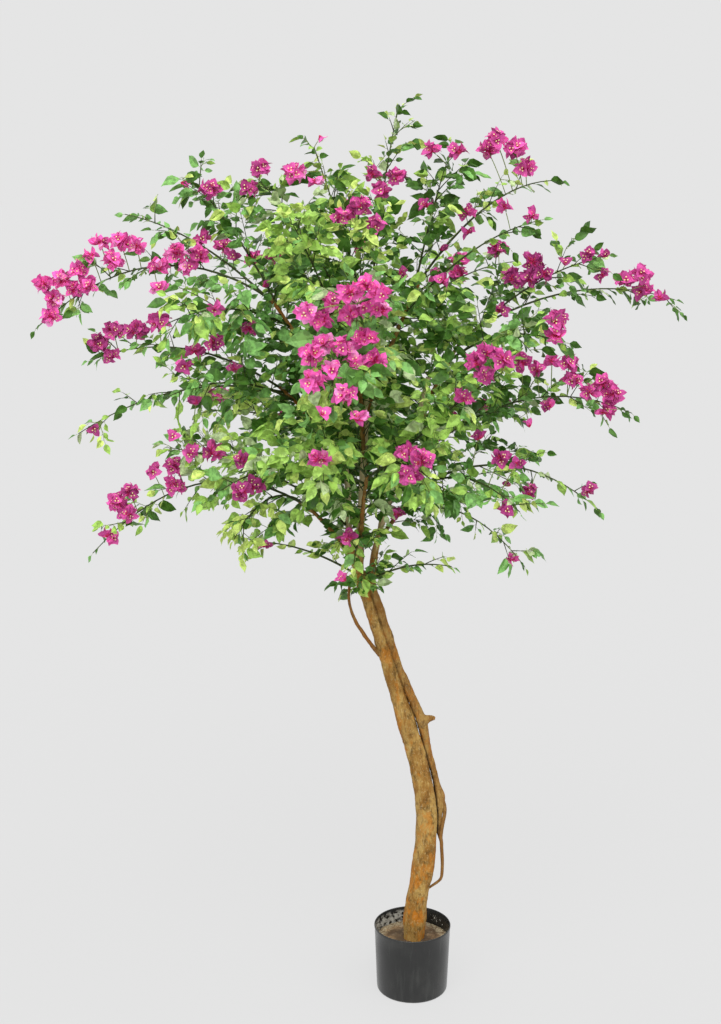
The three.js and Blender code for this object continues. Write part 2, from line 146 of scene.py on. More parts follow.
# A spray is (share of the carrier's length, bearing, reach and height of its tip, lift of its arch).
SPRAYS = {
    "bough_left_high": {
        "left_far": (1, 184, 622, 1388, 90),
        "left_crest": (0.9, 167, 480, 1595, 30),
        "left_upper": (0.8, 173, 330, 1660, 20),
        "left_inner": (0.7, 211, 410, 1415, 30),
    },
    "bough_left_middle": {
        "left_flowering": (1, 174, 540, 1315, 50),
        "left_slender": (0.9, 180, 556, 1180, 45),
        "left_front": (0.78, 207, 400, 1280, 30),
    },
    "bough_left_low": {
        "left_drooping": (1, 186, 530, 955, 85),
        "left_hanging": (0.85, 208, 280, 1000, 50),
    },
    "limb_left": {
        "lower_left": (0.03, 167, 245, 950, 20),
        "left_side": (0.34, 202, 365, 1170, 35),
    },
    "limb_middle": {
        "crest_left": (0.97, 183, 95, 1720, 10),
        "crest_far_left": (0.9, 168, 205, 1660, 30),
        "crest_front": (0.86, 250, 130, 1610, 10),
        "crest_tip": (1, 12, 62, 1784, 40),
    },
    "bough_right_high": {
        "right_crest": (1, 9, 380, 1660, 50),
        "crest_right": (0.85, 347, 154, 1690, 15),
        "right_upper": (0.7, 350, 330, 1590, 30),
    },
    "bough_right_middle": {
        "right_far": (1, 4, 600, 1435, 50),
        "right_high": (0.85, 350, 450, 1525, 30),
        "right_inner": (0.7, 326, 415, 1385, 30),
    },
    "limb_right": {
        "right_flowering": (0.72, 353, 510, 1230, 80),
        "lower_right": (0.02, 345, 175, 925, 15),
    },
    "bough_right_low": {
        "right_slender": (1, 2, 462, 1025, 50),
        "right_front": (0.85, 324, 350, 1070, 30),
        "right_drooping": (0.3, 9, 326, 900, 60),
    },
    "bough_front_high": {
        "front_high": (1, 268, 380, 1465, 20),
        "front_middle": (0.9, 262, 410, 1330, 25),
        "front_top": (0.6, 238, 250, 1600, 15),
    },
    "bough_front_low": {
        "front_low": (1, 253, 355, 1190, 30),
        "front_right": (0.9, 291, 320, 1150, 30),
        "front_left": (0.8, 226, 380, 1120, 45),
        "front_side": (0.6, 312, 360, 1335, 20),
        "front_foot": (0.12, 262, 150, 955, 15),
    },
    "bough_back_high": {
        "back_left_high": (0.85, 132, 450, 1500, 40),
        "back_high": (1, 92, 380, 1590, 40),
        "back_right_high": (0.8, 46, 450, 1490, 40),
        "back_middle": (0.6, 98, 450, 1320, 50),
    },
    "bough_back_low": {
        "back_left_low": (0.85, 144, 430, 1180, 45),
        "back_low": (1, 95, 410, 1070, 50),
        "back_right_low": (0.8, 40, 430, 1170, 45),
    },
}
TWIG_SPACING, TWIG_LENGTH, TWIG_SHRINK, TWIG_LIFT = 72, 130, 0.5, 0.25

# ---- Finer growth, which the source leaves out ----

CREASE = 6  # wood nearer than this to its neighbour gets painted shade, as dark as the shadow in a crease
FINE_SPACING = 27  # between the finer twigs along a stem
LIMB_SPACING = 16.5  # between the twigs that stand straight on the limbs and boughs
SHOOT_SPACING = 24  # between the shoots along a twig
TURN_ON = 2.4  # each finer twig stands turned this far from the last, in radians
FULL_FROM = 1000  # height from which all twigs stand on the limbs
LOW_SHARE, LOW_LENGTH = 0.3, 0.6  # share of them that stands lower down, and how long these are
FORK_TWIGS = 10  # short twigs in the tuft round the fork, at the top of the trunk
TWIG_RADII, SHOOT_RADII = (1.2, 0.5), (0.8, 0.4)
LEAF_SPACING = 9.4  # between the leaves along a shoot
TWIG_LEAVES = 0.55  # a twig that carries shoots has this share of leaves of its own
STEM_LEAF_SPACING = 26  # between the leaves along a spray's stem
INNER, OUTER = 100, 260  # reach from the crown's axis where the inner leaves' painted shade begins to fade, and where it ends
INNER_PAINTED_SHADE = 0.36  # share of the innermost leaves that is deep green in any spray, as painted shade inside the crown

# How full a spray stays towards its tip; the others stay full. Far sprays end as thin whips.
FULLNESS = {
    "left_far": 0.32, "left_crest": 0.22, "left_upper": 0.72, "left_flowering": 0.5, "left_slender": 0.26,
    "left_drooping": 0.5, "lower_left": 0.26, "left_front": 0.68, "left_inner": 0.85, "crest_left": 0.65,
    "crest_tip": 0.32, "right_crest": 0.24, "crest_right": 0.85, "right_upper": 0.3, "right_far": 0.32,
    "right_high": 0.55, "right_inner": 0.9, "right_flowering": 0.65, "lower_right": 0.25,
    "right_slender": 0.24, "right_drooping": 0.33, "right_front": 0.7, "front_foot": 0.45,
    "front_left": 0.85, "front_right": 0.85, "front_side": 0.85, "back_high": 0.8, "back_left_high": 0.4,
    "back_right_high": 0.5, "back_right_low": 0.7,
}

# How much larger the leaves of a spray are; the large dull ones hang in front.
LEAF_GROWTH = {
    "front_middle": 1.15, "front_low": 1.1, "front_left": 1.15, "front_right": 1.1, "left_inner": 1.1,
}
SMALL_LEAVES = 0.85  # how large the leaves of the thinnest spray are against those of a full one

# Leaf tones of a spray, as shares of deep, blue, mid, grey and young leaves.
TONE_NAMES = ("deep", "blue", "mid", "grey", "young")
MIXED = (0.26, 0.24, 0.28, 0.12, 0.1)
# Painted shade: these two mixes hold more dark leaves, for the outer and top sprays that the lights reach
# unhindered.
DARKER_PAINTED_SHADE = (0.27, 0.3, 0.25, 0.12, 0.06)
SUNLIT_PAINTED_SHADE = (0.38, 0.3, 0.2, 0.02, 0.1)
FRESH = (0.15, 0.1, 0.35, 0.05, 0.35)
SPRAY_TONES = {
    "front_top": (0.22, 0.18, 0.26, 0.02, 0.32), "crest_front": (0.26, 0.2, 0.24, 0.02, 0.28),
    "left_inner": (0.32, 0.26, 0.2, 0.08, 0.14), "left_hanging": (0.15, 0.15, 0.35, 0.05, 0.3),
    **dict.fromkeys(("lower_left", "lower_right", "front_foot"), FRESH),
    **dict.fromkeys((
        "crest_left", "crest_far_left", "left_upper", "left_crest", "left_front", "left_flowering",
        "left_far", "back_left_high", "back_middle",
    ), SUNLIT_PAINTED_SHADE),
    **dict.fromkeys((
        "right_crest", "right_upper", "right_far", "right_high", "right_slender", "right_drooping",
        "right_flowering", "crest_right", "crest_tip", "left_slender", "left_drooping",
        "back_right_high", "back_high",
    ), DARKER_PAINTED_SHADE),
}

# Heads of blossom: share of the stem's length, steps to the right and up, flowers.
HEADS = {
    "left_far": [(0.3, -1, 26, 6), (0.35, 0, 2, 5), (0.4, 1, 24, 8), (0.47, -2, -1, 6), (0.5, 10, -38, 3),
        (0.55, -5, 42, 4), (0.6, -12, 55, 7), (0.65, -5, 28, 7), (0.68, -14, 68, 4), (0.72, -14, 52, 2),
        (0.78, -12, 36, 6), (0.78, 8, 8, 6), (0.82, -2, 12, 5), (0.85, -10, 40, 6), (0.9, -22, 47, 6),
        (0.9, -4, 21, 7), (0.95, 10, 4, 5)],
    "left_crest": [(0.28, 1, 25, 2), (0.47, -2, 18, 4)],
    "left_upper": [(0.28, 13, -27, 1), (0.82, 5, 20, 7), (0.97, -19, 0, 1)],
    "left_inner": [(0.3, -11, -28, 3), (0.65, 5, 3, 2)],
    "left_flowering": [(0.33, 0, 28, 8), (0.42, -7, 4, 4), (0.62, -1, 49, 9), (0.75, 1, 37, 8),
        (0.85, -5, 44, 7), (0.9, 6, 0, 4), (0.93, -5, 28, 6)],
    "left_slender": [(0.95, 15, 0, 1)],
    "left_front": [(0.47, -1, 32, 2), (0.82, -10, 44, 2)],
    "left_drooping": [(0.55, -15, 45, 8), (0.6, 2, 17, 7), (0.65, -19, 54, 2), (0.78, -11, 44, 5),
        (0.82, -21, 37, 6), (0.82, -4, 16, 6), (0.93, 8, 8, 4)],
    "lower_left": [(0.82, -2, -2, 1)],
    "left_side": [(0.8, -5, 11, 8), (0.95, 2, 4, 4), (0.95, 12, 98, 1), (1.0, -16, 33, 1)],
    "crest_left": [(0.75, -24, 14, 1), (0.85, -52, -1, 9), (1.0, 12, 20, 1)],
    "crest_far_left": [(0.97, -26, -8, 5), (1.0, 2, 24, 6)],
    "crest_front": [(0.82, 54, 24, 4), (0.9, 0, 15, 6), (0.95, 33, 21, 8)],
    "crest_tip": [(0.47, -3, 17, 6), (0.53, -24, 26, 3), (0.55, 21, 15, 7)],
    "right_crest": [(0.28, -36, -34, 1), (0.28, 13, -2, 1), (0.33, -7, 24, 5), (0.6, -36, 82, 5),
        (0.65, -35, 97, 7), (0.72, -18, 71, 9), (0.75, -5, 34, 6)],
    "crest_right": [(0.28, -39, -36, 1), (0.55, -11, 21, 2), (1.0, -27, 26, 3), (1.0, 20, 24, 4)],
    "right_upper": [(0.28, 0, -9, 2), (0.78, -13, 43, 2), (0.93, -1, 13, 3)],
    "right_far": [(0.75, 1, 20, 5), (0.82, 3, 33, 5), (0.85, -6, 5, 5), (0.93, -5, -2, 2)],
    "right_high": [(0.28, 4, 0, 4), (0.4, -8, 35, 6), (0.5, -2, 17, 5), (0.55, -13, 40, 7),
        (0.57, 3, 14, 5), (0.72, 4, 14, 1), (0.88, 3, 11, 3), (0.93, 14, -29, 2), (0.97, 6, 5, 1)],
    "right_inner": [(0.93, 7, 34, 7), (0.97, -3, 11, 5)],
    "right_flowering": [(0.28, -42, -22, 1), (0.53, -7, 75, 7), (0.53, 11, -45, 1), (0.6, -9, 56, 3),
        (0.62, 6, -14, 2), (0.65, -2, 73, 2), (0.72, -1, 68, 6), (0.72, 4, 34, 6), (0.8, 4, 17, 5),
        (0.85, 8, 36, 5), (0.9, -5, -9, 7), (0.9, 5, 22, 6)],
    "right_slender": [(0.45, -8, -32, 1), (0.6, -15, -35, 5), (0.9, 7, 20, 3)],
    "right_front": [(0.45, 12, 84, 2), (0.65, 20, 59, 4), (0.78, 30, 63, 1), (0.95, -18, 0, 3)],
    "right_drooping": [(0.28, -71, -8, 4), (0.95, -16, 5, 2)],
    "front_high": [(0.72, -64, -20, 6), (0.72, -41, 11, 8), (0.72, -11, -10, 6), (0.72, 13, 4, 5),
        (0.72, 40, -4, 5), (1.0, -85, -11, 5), (1.0, -14, 21, 7), (1.0, 14, 32, 6), (1.0, 37, 19, 6)],
    "front_middle": [(0.72, -27, 39, 5), (0.72, 7, 31, 6), (0.72, 26, 7, 4), (0.72, 44, 46, 8),
        (0.72, 60, 10, 7), (0.85, -41, 34, 9), (0.93, -2, 20, 5), (1.0, -30, 13, 8), (1.0, -15, -43, 1),
        (1.0, 20, -11, 7), (1.0, 45, -51, 2)],
    "front_low": [(0.85, 9, -2, 6)],
    "front_right": [(0.72, -13, 29, 6), (0.8, -16, -8, 9), (0.85, 2, 24, 8)],
    "front_left": [(0.8, -7, 33, 3), (0.8, 15, -14, 5), (0.9, 16, -9, 6)],
    "front_side": [(0.72, 2, 7, 4), (0.88, -18, 41, 5), (0.88, 0, 18, 6), (0.95, -18, 46, 5),
        (1.0, -1, 27, 7)],
    "front_foot": [(0.6, -16, 21, 3), (1.0, -20, -21, 1)],
    "back_left_high": [(0.51, 0, 27, 5), (0.68, 19, 27, 6), (0.69, -20, 20, 6), (0.99, 0, 24, 8)],
    "back_high": [(0.54, 0, 10, 8), (0.85, -11, 22, 7), (0.86, -21, 13, 7)],
    "back_right_high": [(0.48, 0, 31, 5), (0.61, 5, 11, 6), (0.68, -14, 28, 6), (0.9, 0, 30, 8)],
    "back_middle": [(0.37, 0, 13, 6), (0.63, 1, 25, 7), (0.63, 16, 15, 7), (0.85, 19, 25, 5),
        (0.87, -14, 11, 5), (0.93, 17, 15, 5)],
    "back_left_low": [(0.46, 0, 15, 5), (0.84, -8, 29, 6), (0.87, -21, 25, 6)],
    "back_low": [(0.55, 0, 16, 7), (0.85, 9, 9, 6), (0.9, -20, 27, 6)],
    "back_right_low": [(0.53, 0, 8, 6), (0.81, -19, 12, 6), (0.89, -5, 23, 6)],
}

# Main tone of a spray's blossom; the others are rose.
BLOSSOM_TONES = {
    **dict.fromkeys(("left_far", "crest_left", "front_high", "front_middle", "front_low", "back_middle"),
                    "bright"),
    **dict.fromkeys(("right_high", "front_left", "right_slender", "right_front", "back_right_low"),
                    "purple"),
}
OPEN_LIMB = (0.44, 0.76)  # the stretch of the middle limb that shows between the leaves in front
# No leaf crosses these ways to it, from the front and from the key light: direction, length and radius.
LIMB_VIEWS = (((0, -1, 0.15), 420, 14), ((-0.16, -0.65, 0.74), 260, 16))
HEAD_VIEW = 140  # no leaf hangs nearer than this before a head of blossom
HEAD_FORWARD = 18  # a head stands this far out from its stem, away from the middle of the crown
SPRAY_NODES = ["spray_" + name for rows in SPRAYS.values() for name in rows]

# ---- Small tools ----


def seeded(seed):
    """The source's numbers: the same ones in the same order for the same seed."""
    state = seed

    def draw():
        nonlocal state
        state = state * 48271 % 2147483647
        return state / 2147483647

    return draw


def mix(low, high, share):
    """The value at a share of the way from low to high."""
    return low + (high - low) * share


def smoothstep(value, low, high):
    """0 below low, 1 above high, and smooth from one to the other."""
    share = min(max((value - low) / (high - low), 0), 1)
    return share * share * (3 - 2 * share)


def around(bearing, reach, height):
    """A point at a bearing and reach round the crown's axis, at a height."""
    turn = math.radians(bearing)
    return Vector((CROWN_X + reach * math.cos(turn), reach * math.sin(turn), height))


class Path:
    """A centreline, in millimetres, with a point and a direction at each share of its run."""

    def direction(self, share):
        before, after = max(share - 1e-4, 0), min(share + 1e-4, 1)
        return (self.point(after) - self.point(before)).normalized()

    def points(self, count):
        return [self.point(i / count) for i in range(count + 1)]

    def length(self):
        stops = self.points(24)
        return sum((b - a).length for a, b in zip(stops, stops[1:]))

    def sideways(self):
        """The direction that the path's sections keep as their first axis."""
        chord = (self.point(1) - self.point(0)).normalized()
        return chord.cross(Vector((1, 0, 0)) if abs(chord.z) > 0.9 else UP).normalized()


class Arch(Path):
    """A bow between two points whose middle is lifted over the straight line."""

    def __init__(self, start, end, lift):
        self.start, self.end = start, end
        self.middle = (start + end) / 2 + UP * 2 * lift

    def point(self, share):
        rest = 1 - share
        return self.start * rest * rest + self.middle * 2 * rest * share + self.end * share * share


class Line(Path):
    """A smooth centreline through given points, spaced by the root of their distances."""

    def __init__(self, points):
        self.stops = [Vector(p) for p in points]

    def point(self, share):
        stops = self.stops
        last = len(stops) - 1
        place = last * share
        first = min(int(place), last - 1)
        part = place - first
        b, c = stops[first], stops[first + 1]
        a = stops[first - 1] if first > 0 else b * 2 - c
        d = stops[first + 2] if first + 2 <= last else c * 2 - b
        ab, bc, cd = ((q - p).length ** 0.5 for p, q in ((a, b), (b, c), (c, d)))
        leave = ((b - a) / ab - (c - a) / (ab + bc) + (c - b) / bc) * bc
        arrive = ((c - b) / bc - (d - b) / (bc + cd) + (d - c) / cd) * bc
        square, cube = part * part, part**3
        return (
            b + leave * part + (3 * (c - b) - 2 * leave - arrive) * square
            + (2 * (b - c) + leave + arrive) * cube
        )


def swollen(path, radii, taper_from=0.0, swellings=()):
    """The radius of a piece of wood at each share of its path, with its swellings."""

    def radius(share):
        height = path.point(share).z
        growth = sum(most * math.exp(-(((height - at) / half) ** 2)) for at, most, half in swellings)
        return mix(*radii, smoothstep(share, taper_from, 1)) + growth

    return radius


@cache
def wood_paths():
    """Every wooden piece's path and radius, by name."""
    wood = {}
    for name, piece in {**STEMS, **VINES, **LIMBS}.items():
        path = Line(piece["line"])
        radius = swollen(path, piece["radii"], piece.get("taper_from", 0.0), piece.get("swellings", ()))
        wood[name] = (path, radius)
    for name, (limb, at, bearing, reach, height, lift) in BOUGHS.items():
        path = Arch(wood[limb][0].point(at), around(bearing, reach, height), lift)
        wood[name] = (path, lambda share: mix(*BOUGH_RADII, share))
    return wood


# ---- Sprays ----

Spray = namedtuple("Spray", "name path seed index")
Twig = namedtuple("Twig", "path radii order spray")
Leaf = namedtuple("Leaf", "base along above length tone")
Head = namedtuple("Head", "root centre flowers tone seed")


@cache
def sprays():
    """Every spray's stem, from its carrier to its tip, with its seed and number."""
    planned = []
    for carrier, rows in SPRAYS.items():
        for name, (at, bearing, reach, height, lift) in rows.items():
            root = wood_paths()[carrier][0].point(min(at, 0.985))
            path = Arch(root, around(bearing, reach, height), lift)
            planned.append(Spray(name, path, 101 + 37 * len(planned), len(planned)))
    return planned


@cache
def stem_stretches():
    """The start and run of every stem's short stretches, and the spray that each belongs to."""
    starts, runs, owners = [], [], []
    for spray in sprays():
        stops = spray.path.points(12)
        for a, b in zip(stops, stops[1:]):
            starts.append(a)
            runs.append(b - a)
            owners.append(spray.index)
    return np.array(starts), np.array(runs), np.array(owners)


def owner(point):
    """The spray whose own space holds a point: the one whose stem is nearest."""
    starts, runs, owners = stem_stretches()
    away = np.array(point) - starts
    share = np.clip((away * runs).sum(1) / (runs * runs).sum(1), 0, 1)
    return owners[np.argmin(((away - runs * share[:, None]) ** 2).sum(1))]


def source_twigs(spray):
    """Side twigs leave the stem to its left and right in turn, shorter towards the tip."""
    draw = seeded(spray.seed)
    count = round(spray.path.length() / TWIG_SPACING)
    for k in range(count):
        share = 0.12 + 0.78 * (k + 0.6 * draw()) / count
        turn = math.pi * k + mix(-1, 1, draw())
        spread = math.radians(mix(38, 62, draw()))
        yield share, turn, spread, TWIG_LENGTH * (1 - TWIG_SHRINK * share) * mix(0.8, 1.15, draw())


def twig_from(path, side, share, turn, spread, length, lift=TWIG_LIFT, sag=0.0):
    """A twig that leaves a path at a share, turned round it and spread from it."""
    along = path.direction(share)
    over = side.cross(along)
    out = side * math.cos(turn) + over * math.sin(turn)
    aim = along * math.cos(spread) + out * math.sin(spread)
    aim.z += lift
    root = path.point(share)
    return Arch(root, root + aim.normalized() * length, length * sag)


def shoots_on(twig, draw, index, keep=1.0):
    """Short shoots leave a twig to its two sides in turn."""
    side = twig.sideways()
    count = int(twig.length() / SHOOT_SPACING)
    for k in range(count):
        share = mix(0.25, 0.95, (k + draw()) / count)
        turn = math.pi * k + mix(-0.9, 0.9, draw())
        spread = math.radians(mix(35, 65, draw()))
        run, lift = mix(18, 40, draw()), mix(-0.4, 0.4, draw())
        if draw() < keep:
            yield Twig(twig_from(twig, side, share, turn, spread, run, lift, 0.02), SHOOT_RADII, 2, index)


def kept_at(spray, share, thins_from, thin_at):
    """How much of a spray's growth stays at a share of its stem; it thins out towards the tip."""
    full = FULLNESS.get(spray.name, 1)
    return mix(min(1, 0.55 + 0.6 * full), full, smoothstep(share, thins_from, thin_at))


def main_twigs(spray, draw):
    """The source's twigs of a spray, each with how full the spray is where it stands."""
    side = spray.path.sideways()
    for share, turn, spread, length in source_twigs(spray):
        keep = kept_at(spray, share, 0.3, 0.6)
        twig = twig_from(spray.path, side, share, turn, spread, length * mix(0.5, 1, keep), sag=0.03)
        if draw() < 0.3 + keep and all(owner(twig.point(s)) == spray.index for s in (0.6, 1)):
            yield twig, keep


def spaced(path, spacing, shares, spreads, draw):
    """Places along a path for finer twigs: the share of its length, the turn round it and the spread."""
    count = round(path.length() / spacing)
    for k in range(count):
        share = mix(*shares, (k + 0.7 * draw()) / count)
        turn = TURN_ON * k + mix(-0.6, 0.6, draw())
        yield share, turn, math.radians(mix(*spreads, draw()))


def fine_twigs(spray, draw):
    """Finer twigs all round the stem; one that would leave the spray's own space is shortened."""
    side = spray.path.sideways()
    for share, turn, spread in spaced(spray.path, FINE_SPACING, (0.06, 0.97), (35, 70), draw):
        keep = kept_at(spray, share, 0.2, 0.55)
        length = mix(60, 115, draw()) * (1 - 0.45 * share) * mix(0.45, 1, keep)
        if draw() > keep:
            continue
        for shorter in (1, 0.7, 0.45):
            twig = twig_from(spray.path, side, share, turn, spread, length * shorter, 0.15, 0.02)
            if owner(twig.point(1)) == spray.index:
                yield twig, keep
                break


def limb_twigs(path, draw):
    """Short twigs straight from a limb or a bough, which fill the middle of the crown."""
    side = path.sideways()
    for share, turn, spread in spaced(path, LIMB_SPACING, (0.05, 0.99), (45, 80), draw):
        length = mix(55, 125, draw())
        if path.point(share).z < FULL_FROM:
            length *= LOW_LENGTH
            if draw() > LOW_SHARE:
                continue
        yield twig_from(path, side, share, turn, spread, length, 0.1, 0.03)


def fork_twigs(draw):
    """The tuft of short twigs round the fork."""
    trunk = wood_paths()["trunk"][0]
    for k in range(FORK_TWIGS):
        share = mix(0.975, 0.998, k / FORK_TWIGS)
        spread = math.radians(mix(60, 95, draw()))
        yield twig_from(trunk, trunk.sideways(), share, TURN_ON * k, spread, mix(28, 50, draw()), 0.0, 0.05)


@cache
def twigs():
    """All twigs of the crown and their shoots, each with the spray whose leaves it carries."""
    grown = []

    def grow(path, draw, index, keep=1.0):
        grown.append(Twig(path, TWIG_RADII, 1, index))
        grown.extend(shoots_on(path, draw, index, keep))

    for spray in sprays():
        draw = seeded(spray.seed + 5)
        for twig, keep in [*main_twigs(spray, draw), *fine_twigs(spray, draw)]:
            grow(twig, draw, spray.index, keep)
    for number, (name, (path, _)) in enumerate(wood_paths().items()):
        if name.startswith(("limb", "bough")):
            draw = seeded(9001 + 101 * number)
            for twig in limb_twigs(path, draw):
                grow(twig, draw, int(owner(twig.point(1))))
    foot = next(spray.index for spray in sprays() if spray.name == "front_foot")
    draw = seeded(8009)
    for twig in fork_twigs(draw):
        grow(twig, draw, foot)
    return grown


def leaf_at(path, share, out, draw, length, tone):
    """A leaf faces up and out from the crown's axis, and leans out from what carries it."""
    along = path.direction(share)
    aim = along + path.sideways() * out
    aim.z += mix(-0.9, 0.1, draw())
    aim.normalize()
    base = path.point(share)
    above = Vector((base.x - CROWN_X, base.y, 0)).normalized() * 0.55
    above += Vector((mix(-1.1, 1.1, draw()), mix(-1.1, 1.1, draw()), mix(-0.2, 1.2, draw())))
    stalk = mix(4, 8, draw())
    return Leaf(base, aim, above, length, tone), stalk


def pick(draw, shares):
    """A number drawn by the shares of each."""
    number, rest = 0, draw()
    while number < len(shares) - 1 and rest > shares[number]:
        rest -= shares[number]
        number += 1
    return number


def twig_leaves(twig, spray, lengths, draw):
    """Leaves to the two sides of a twig and one at its tip; many of them have the twig's own tone."""
    shares = SPRAY_TONES.get(spray.name, MIXED)
    tone = pick(draw, shares)
    count = max(1, round(twig.path.length() / LEAF_SPACING * (TWIG_LEAVES if twig.order == 1 else 1)))
    size = mix(0.8, 1.1, draw()) * LEAF_GROWTH.get(spray.name, 1)
    size *= mix(SMALL_LEAVES, 1, FULLNESS.get(spray.name, 1))
    root = twig.path.point(0)
    inner = 1 - smoothstep(math.hypot(root.x - CROWN_X, root.y), INNER, OUTER)
    for k in range(count):
        share = mix(0.3, 0.97, (k + 0.5 * draw()) / count)
        out = (1 if k % 2 else -1) * mix(0.6, 1.5, draw())
        own = tone if draw() < 0.4 else pick(draw, shares)
        # Painted shade: leaves near the crown's axis are more often deep green.
        if draw() < INNER_PAINTED_SHADE * inner:
            own = TONE_NAMES.index("deep")
        run = mix(*lengths, draw() ** 1.5) * size
        yield leaf_at(twig.path, share, out, draw, run, own)
    end = TONE_NAMES.index("young") if draw() < 0.1 else tone
    run = mix(*lengths, 0.6 * draw()) * size
    yield leaf_at(twig.path, 1, mix(-0.2, 0.2, draw()), draw, run, end)


def stem_leaves(spray, lengths, draw):
    """Leaves that sit on a spray's stem itself, smaller towards its tip."""
    shares = SPRAY_TONES.get(spray.name, MIXED)
    count = round(spray.path.length() / STEM_LEAF_SPACING)
    for k in range(count):
        share = mix(0.3, 1, (k + 0.5 * draw()) / count)
        out = (1 if k % 2 else -1) * mix(0.6, 1.2, draw())
        run = mix(*lengths, draw()) * mix(1, 0.75, share)
        yield leaf_at(spray.path, share, out, draw, run, pick(draw, shares))
    yield leaf_at(spray.path, 1, 0, draw, lengths[0], pick(draw, shares))


def leaves():
    """All leaves, of the lengths that are set, each with the length of its stalk."""
    sizes = bpy.context.scene.leaf_sizes
    return leaves_between(sizes.shortest / MM, sizes.longest / MM)


@cache
def leaves_between(*lengths):
    """All leaves, from the shortest to the longest length."""
    planned, grown = sprays(), []
    for number, twig in enumerate(twigs()):
        grown += twig_leaves(twig, planned[twig.spray], lengths, seeded(20011 + 53 * number))
    for spray in planned:
        grown += stem_leaves(spray, lengths, seeded(30011 + 71 * spray.index))
    return kept_clear(grown)


@cache
def heads():
    """Every head of blossom, with the point of the stem that its stalks leave."""
    placed = []
    for spray in sprays():
        tone = BLOSSOM_TONES.get(spray.name, "rose")
        for share, right, up, flowers in HEADS.get(spray.name, ()):
            root = spray.path.point(share)
            forward = HEAD_FORWARD if spray.name.startswith("back") else -HEAD_FORWARD
            centre = root + Vector((right, forward, up))
            placed.append(Head(root, centre, flowers, tone, 4001 + 97 * len(placed)))
    return placed


def kept_clear(grown):
    """Leaves out the leaves that would stick into a head, or hang before it or before the open limb."""
    middles = np.array([leaf.base + leaf.along * (0.6 * leaf.length) for leaf, _ in grown])
    hidden = np.zeros(len(grown), dtype=bool)

    def clear(centre, way, depth, radius):
        """Which leaves lie within a radius of a straight way out from a point."""
        away = middles - np.array(centre)
        before = np.clip(away @ way, 0, depth)
        return np.linalg.norm(away - before[:, None] * way, axis=1) < radius

    for head in heads():
        outwards = np.array((0, math.copysign(0.98, head.centre.y - head.root.y), 0.17))
        hidden |= clear(head.centre, outwards, HEAD_VIEW, 9 + 4.5 * head.flowers**0.5)
    limb = wood_paths()["limb_middle"][0]
    for share in np.linspace(*OPEN_LIMB, 12):
        for way, depth, radius in LIMB_VIEWS:
            hidden |= clear(limb.point(share), np.array(way), depth, radius)
    return [leaf for leaf, out in zip(grown, hidden) if not out]


# ---- Joined meshes of many small shapes ----


class Heap:
    """Many small shapes on their way to one joined mesh. Points are in millimetres."""

    def __init__(self):
        self.points, self.faces, self.count = [], [], 0

    def add(self, points, faces):
        self.points.append(points)
        self.faces.append(faces + self.count)
        self.count += len(points)

    def piece(self, name, finish):
        """Joins the shapes into one piece, which stands for all sprays."""
        points = np.concatenate(self.points) * MM
        faces = np.concatenate(self.faces)
        mesh = bpy.data.meshes.new(name)
        mesh.vertices.add(len(points))
        mesh.vertices.foreach_set("co", points.astype(np.float32).ravel())
        mesh.loops.add(faces.size)
        mesh.loops.foreach_set("vertex_index", faces.astype(np.int32).ravel())
        mesh.polygons.add(len(faces))
        mesh.polygons.foreach_set("loop_start", np.arange(0, faces.size, 3, dtype=np.int32))
        mesh.polygons.foreach_set("use_smooth", np.ones(len(faces), dtype=bool))
        mesh.update(calc_edges=True)
        mesh.validate()
        return finished(name, mesh, finish, SPRAY_NODES)


def finished(name, mesh, finish, stands_for):
    """Puts a mesh in the scene as a piece that rides with the tree and stands for its nodes."""
    piece = bpy.data.objects.new(name, mesh)
    bpy.context.scene.collection.objects.link(piece)
    mesh.materials.append(finish)
    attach(piece, "root")
    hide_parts(*stands_for)
    return piece


def tube(points, radii, sides):
    """A closed tube of triangles along points, with a radius at each."""
    points = np.array(points, dtype=float)
    radii = np.asarray(radii, dtype=float)
    along = np.gradient(points, axis=0)
    along /= np.linalg.norm(along, axis=1, keepdims=True)
    chord = points[-1] - points[0]
    steep = abs(chord[2]) > 0.9 * np.linalg.norm(chord)
    side = np.cross(along, (1.0, 0.0, 0.0) if steep else (0.0, 0.0, 1.0))
    side /= np.linalg.norm(side, axis=1, keepdims=True)
    over = np.cross(along, side)
    turns = np.arange(sides) * 2 * math.pi / sides
    ring = (
        points[:, None]
        + radii[:, None, None]
        * (side[:, None] * np.cos(turns)[None, :, None] + over[:, None] * np.sin(turns)[None, :, None])
    ).reshape(-1, 3)
    faces = []
    for i in range(len(points) - 1):
        for j in range(sides):
            k = (j + 1) % sides
            a, b, c, d = i * sides + j, i * sides + k, (i + 1) * sides + k, (i + 1) * sides + j
            faces += [(a, b, c), (a, c, d)]
    foot, tip, last = len(ring), len(ring) + 1, (len(points) - 1) * sides
    for j in range(sides):
        k = (j + 1) % sides
        faces += [(foot, k, j), (tip, last + j, last + k)]
    ends = [points[0], points[-1] + along[-1] * radii[-1]]
    return np.vstack([ring, ends]), np.array(faces)


def spindle(start, end, radius):
    """A thin stalk of six faces, pointed at both ends."""
    start, end = np.array(start), np.array(end)
    along = end - start
    side = np.cross(along, (0.31, 0.17, 0.93))
    side /= np.linalg.norm(side)
    over = np.cross(along / np.linalg.norm(along), side)
    turns = np.arange(3) * 2 * math.pi / 3
    ring = start + along * 0.4 + radius * (np.cos(turns)[:, None] * side + np.sin(turns)[:, None] * over)
    faces = [(0, 3 + k, 2 + k) if k < 2 else (0, 2, 4) for k in range(3)]
    faces += [(1, 2 + k, 3 + k) if k < 2 else (1, 4, 2) for k in range(3)]
    return np.vstack([[start, end], ring]), np.array(faces)


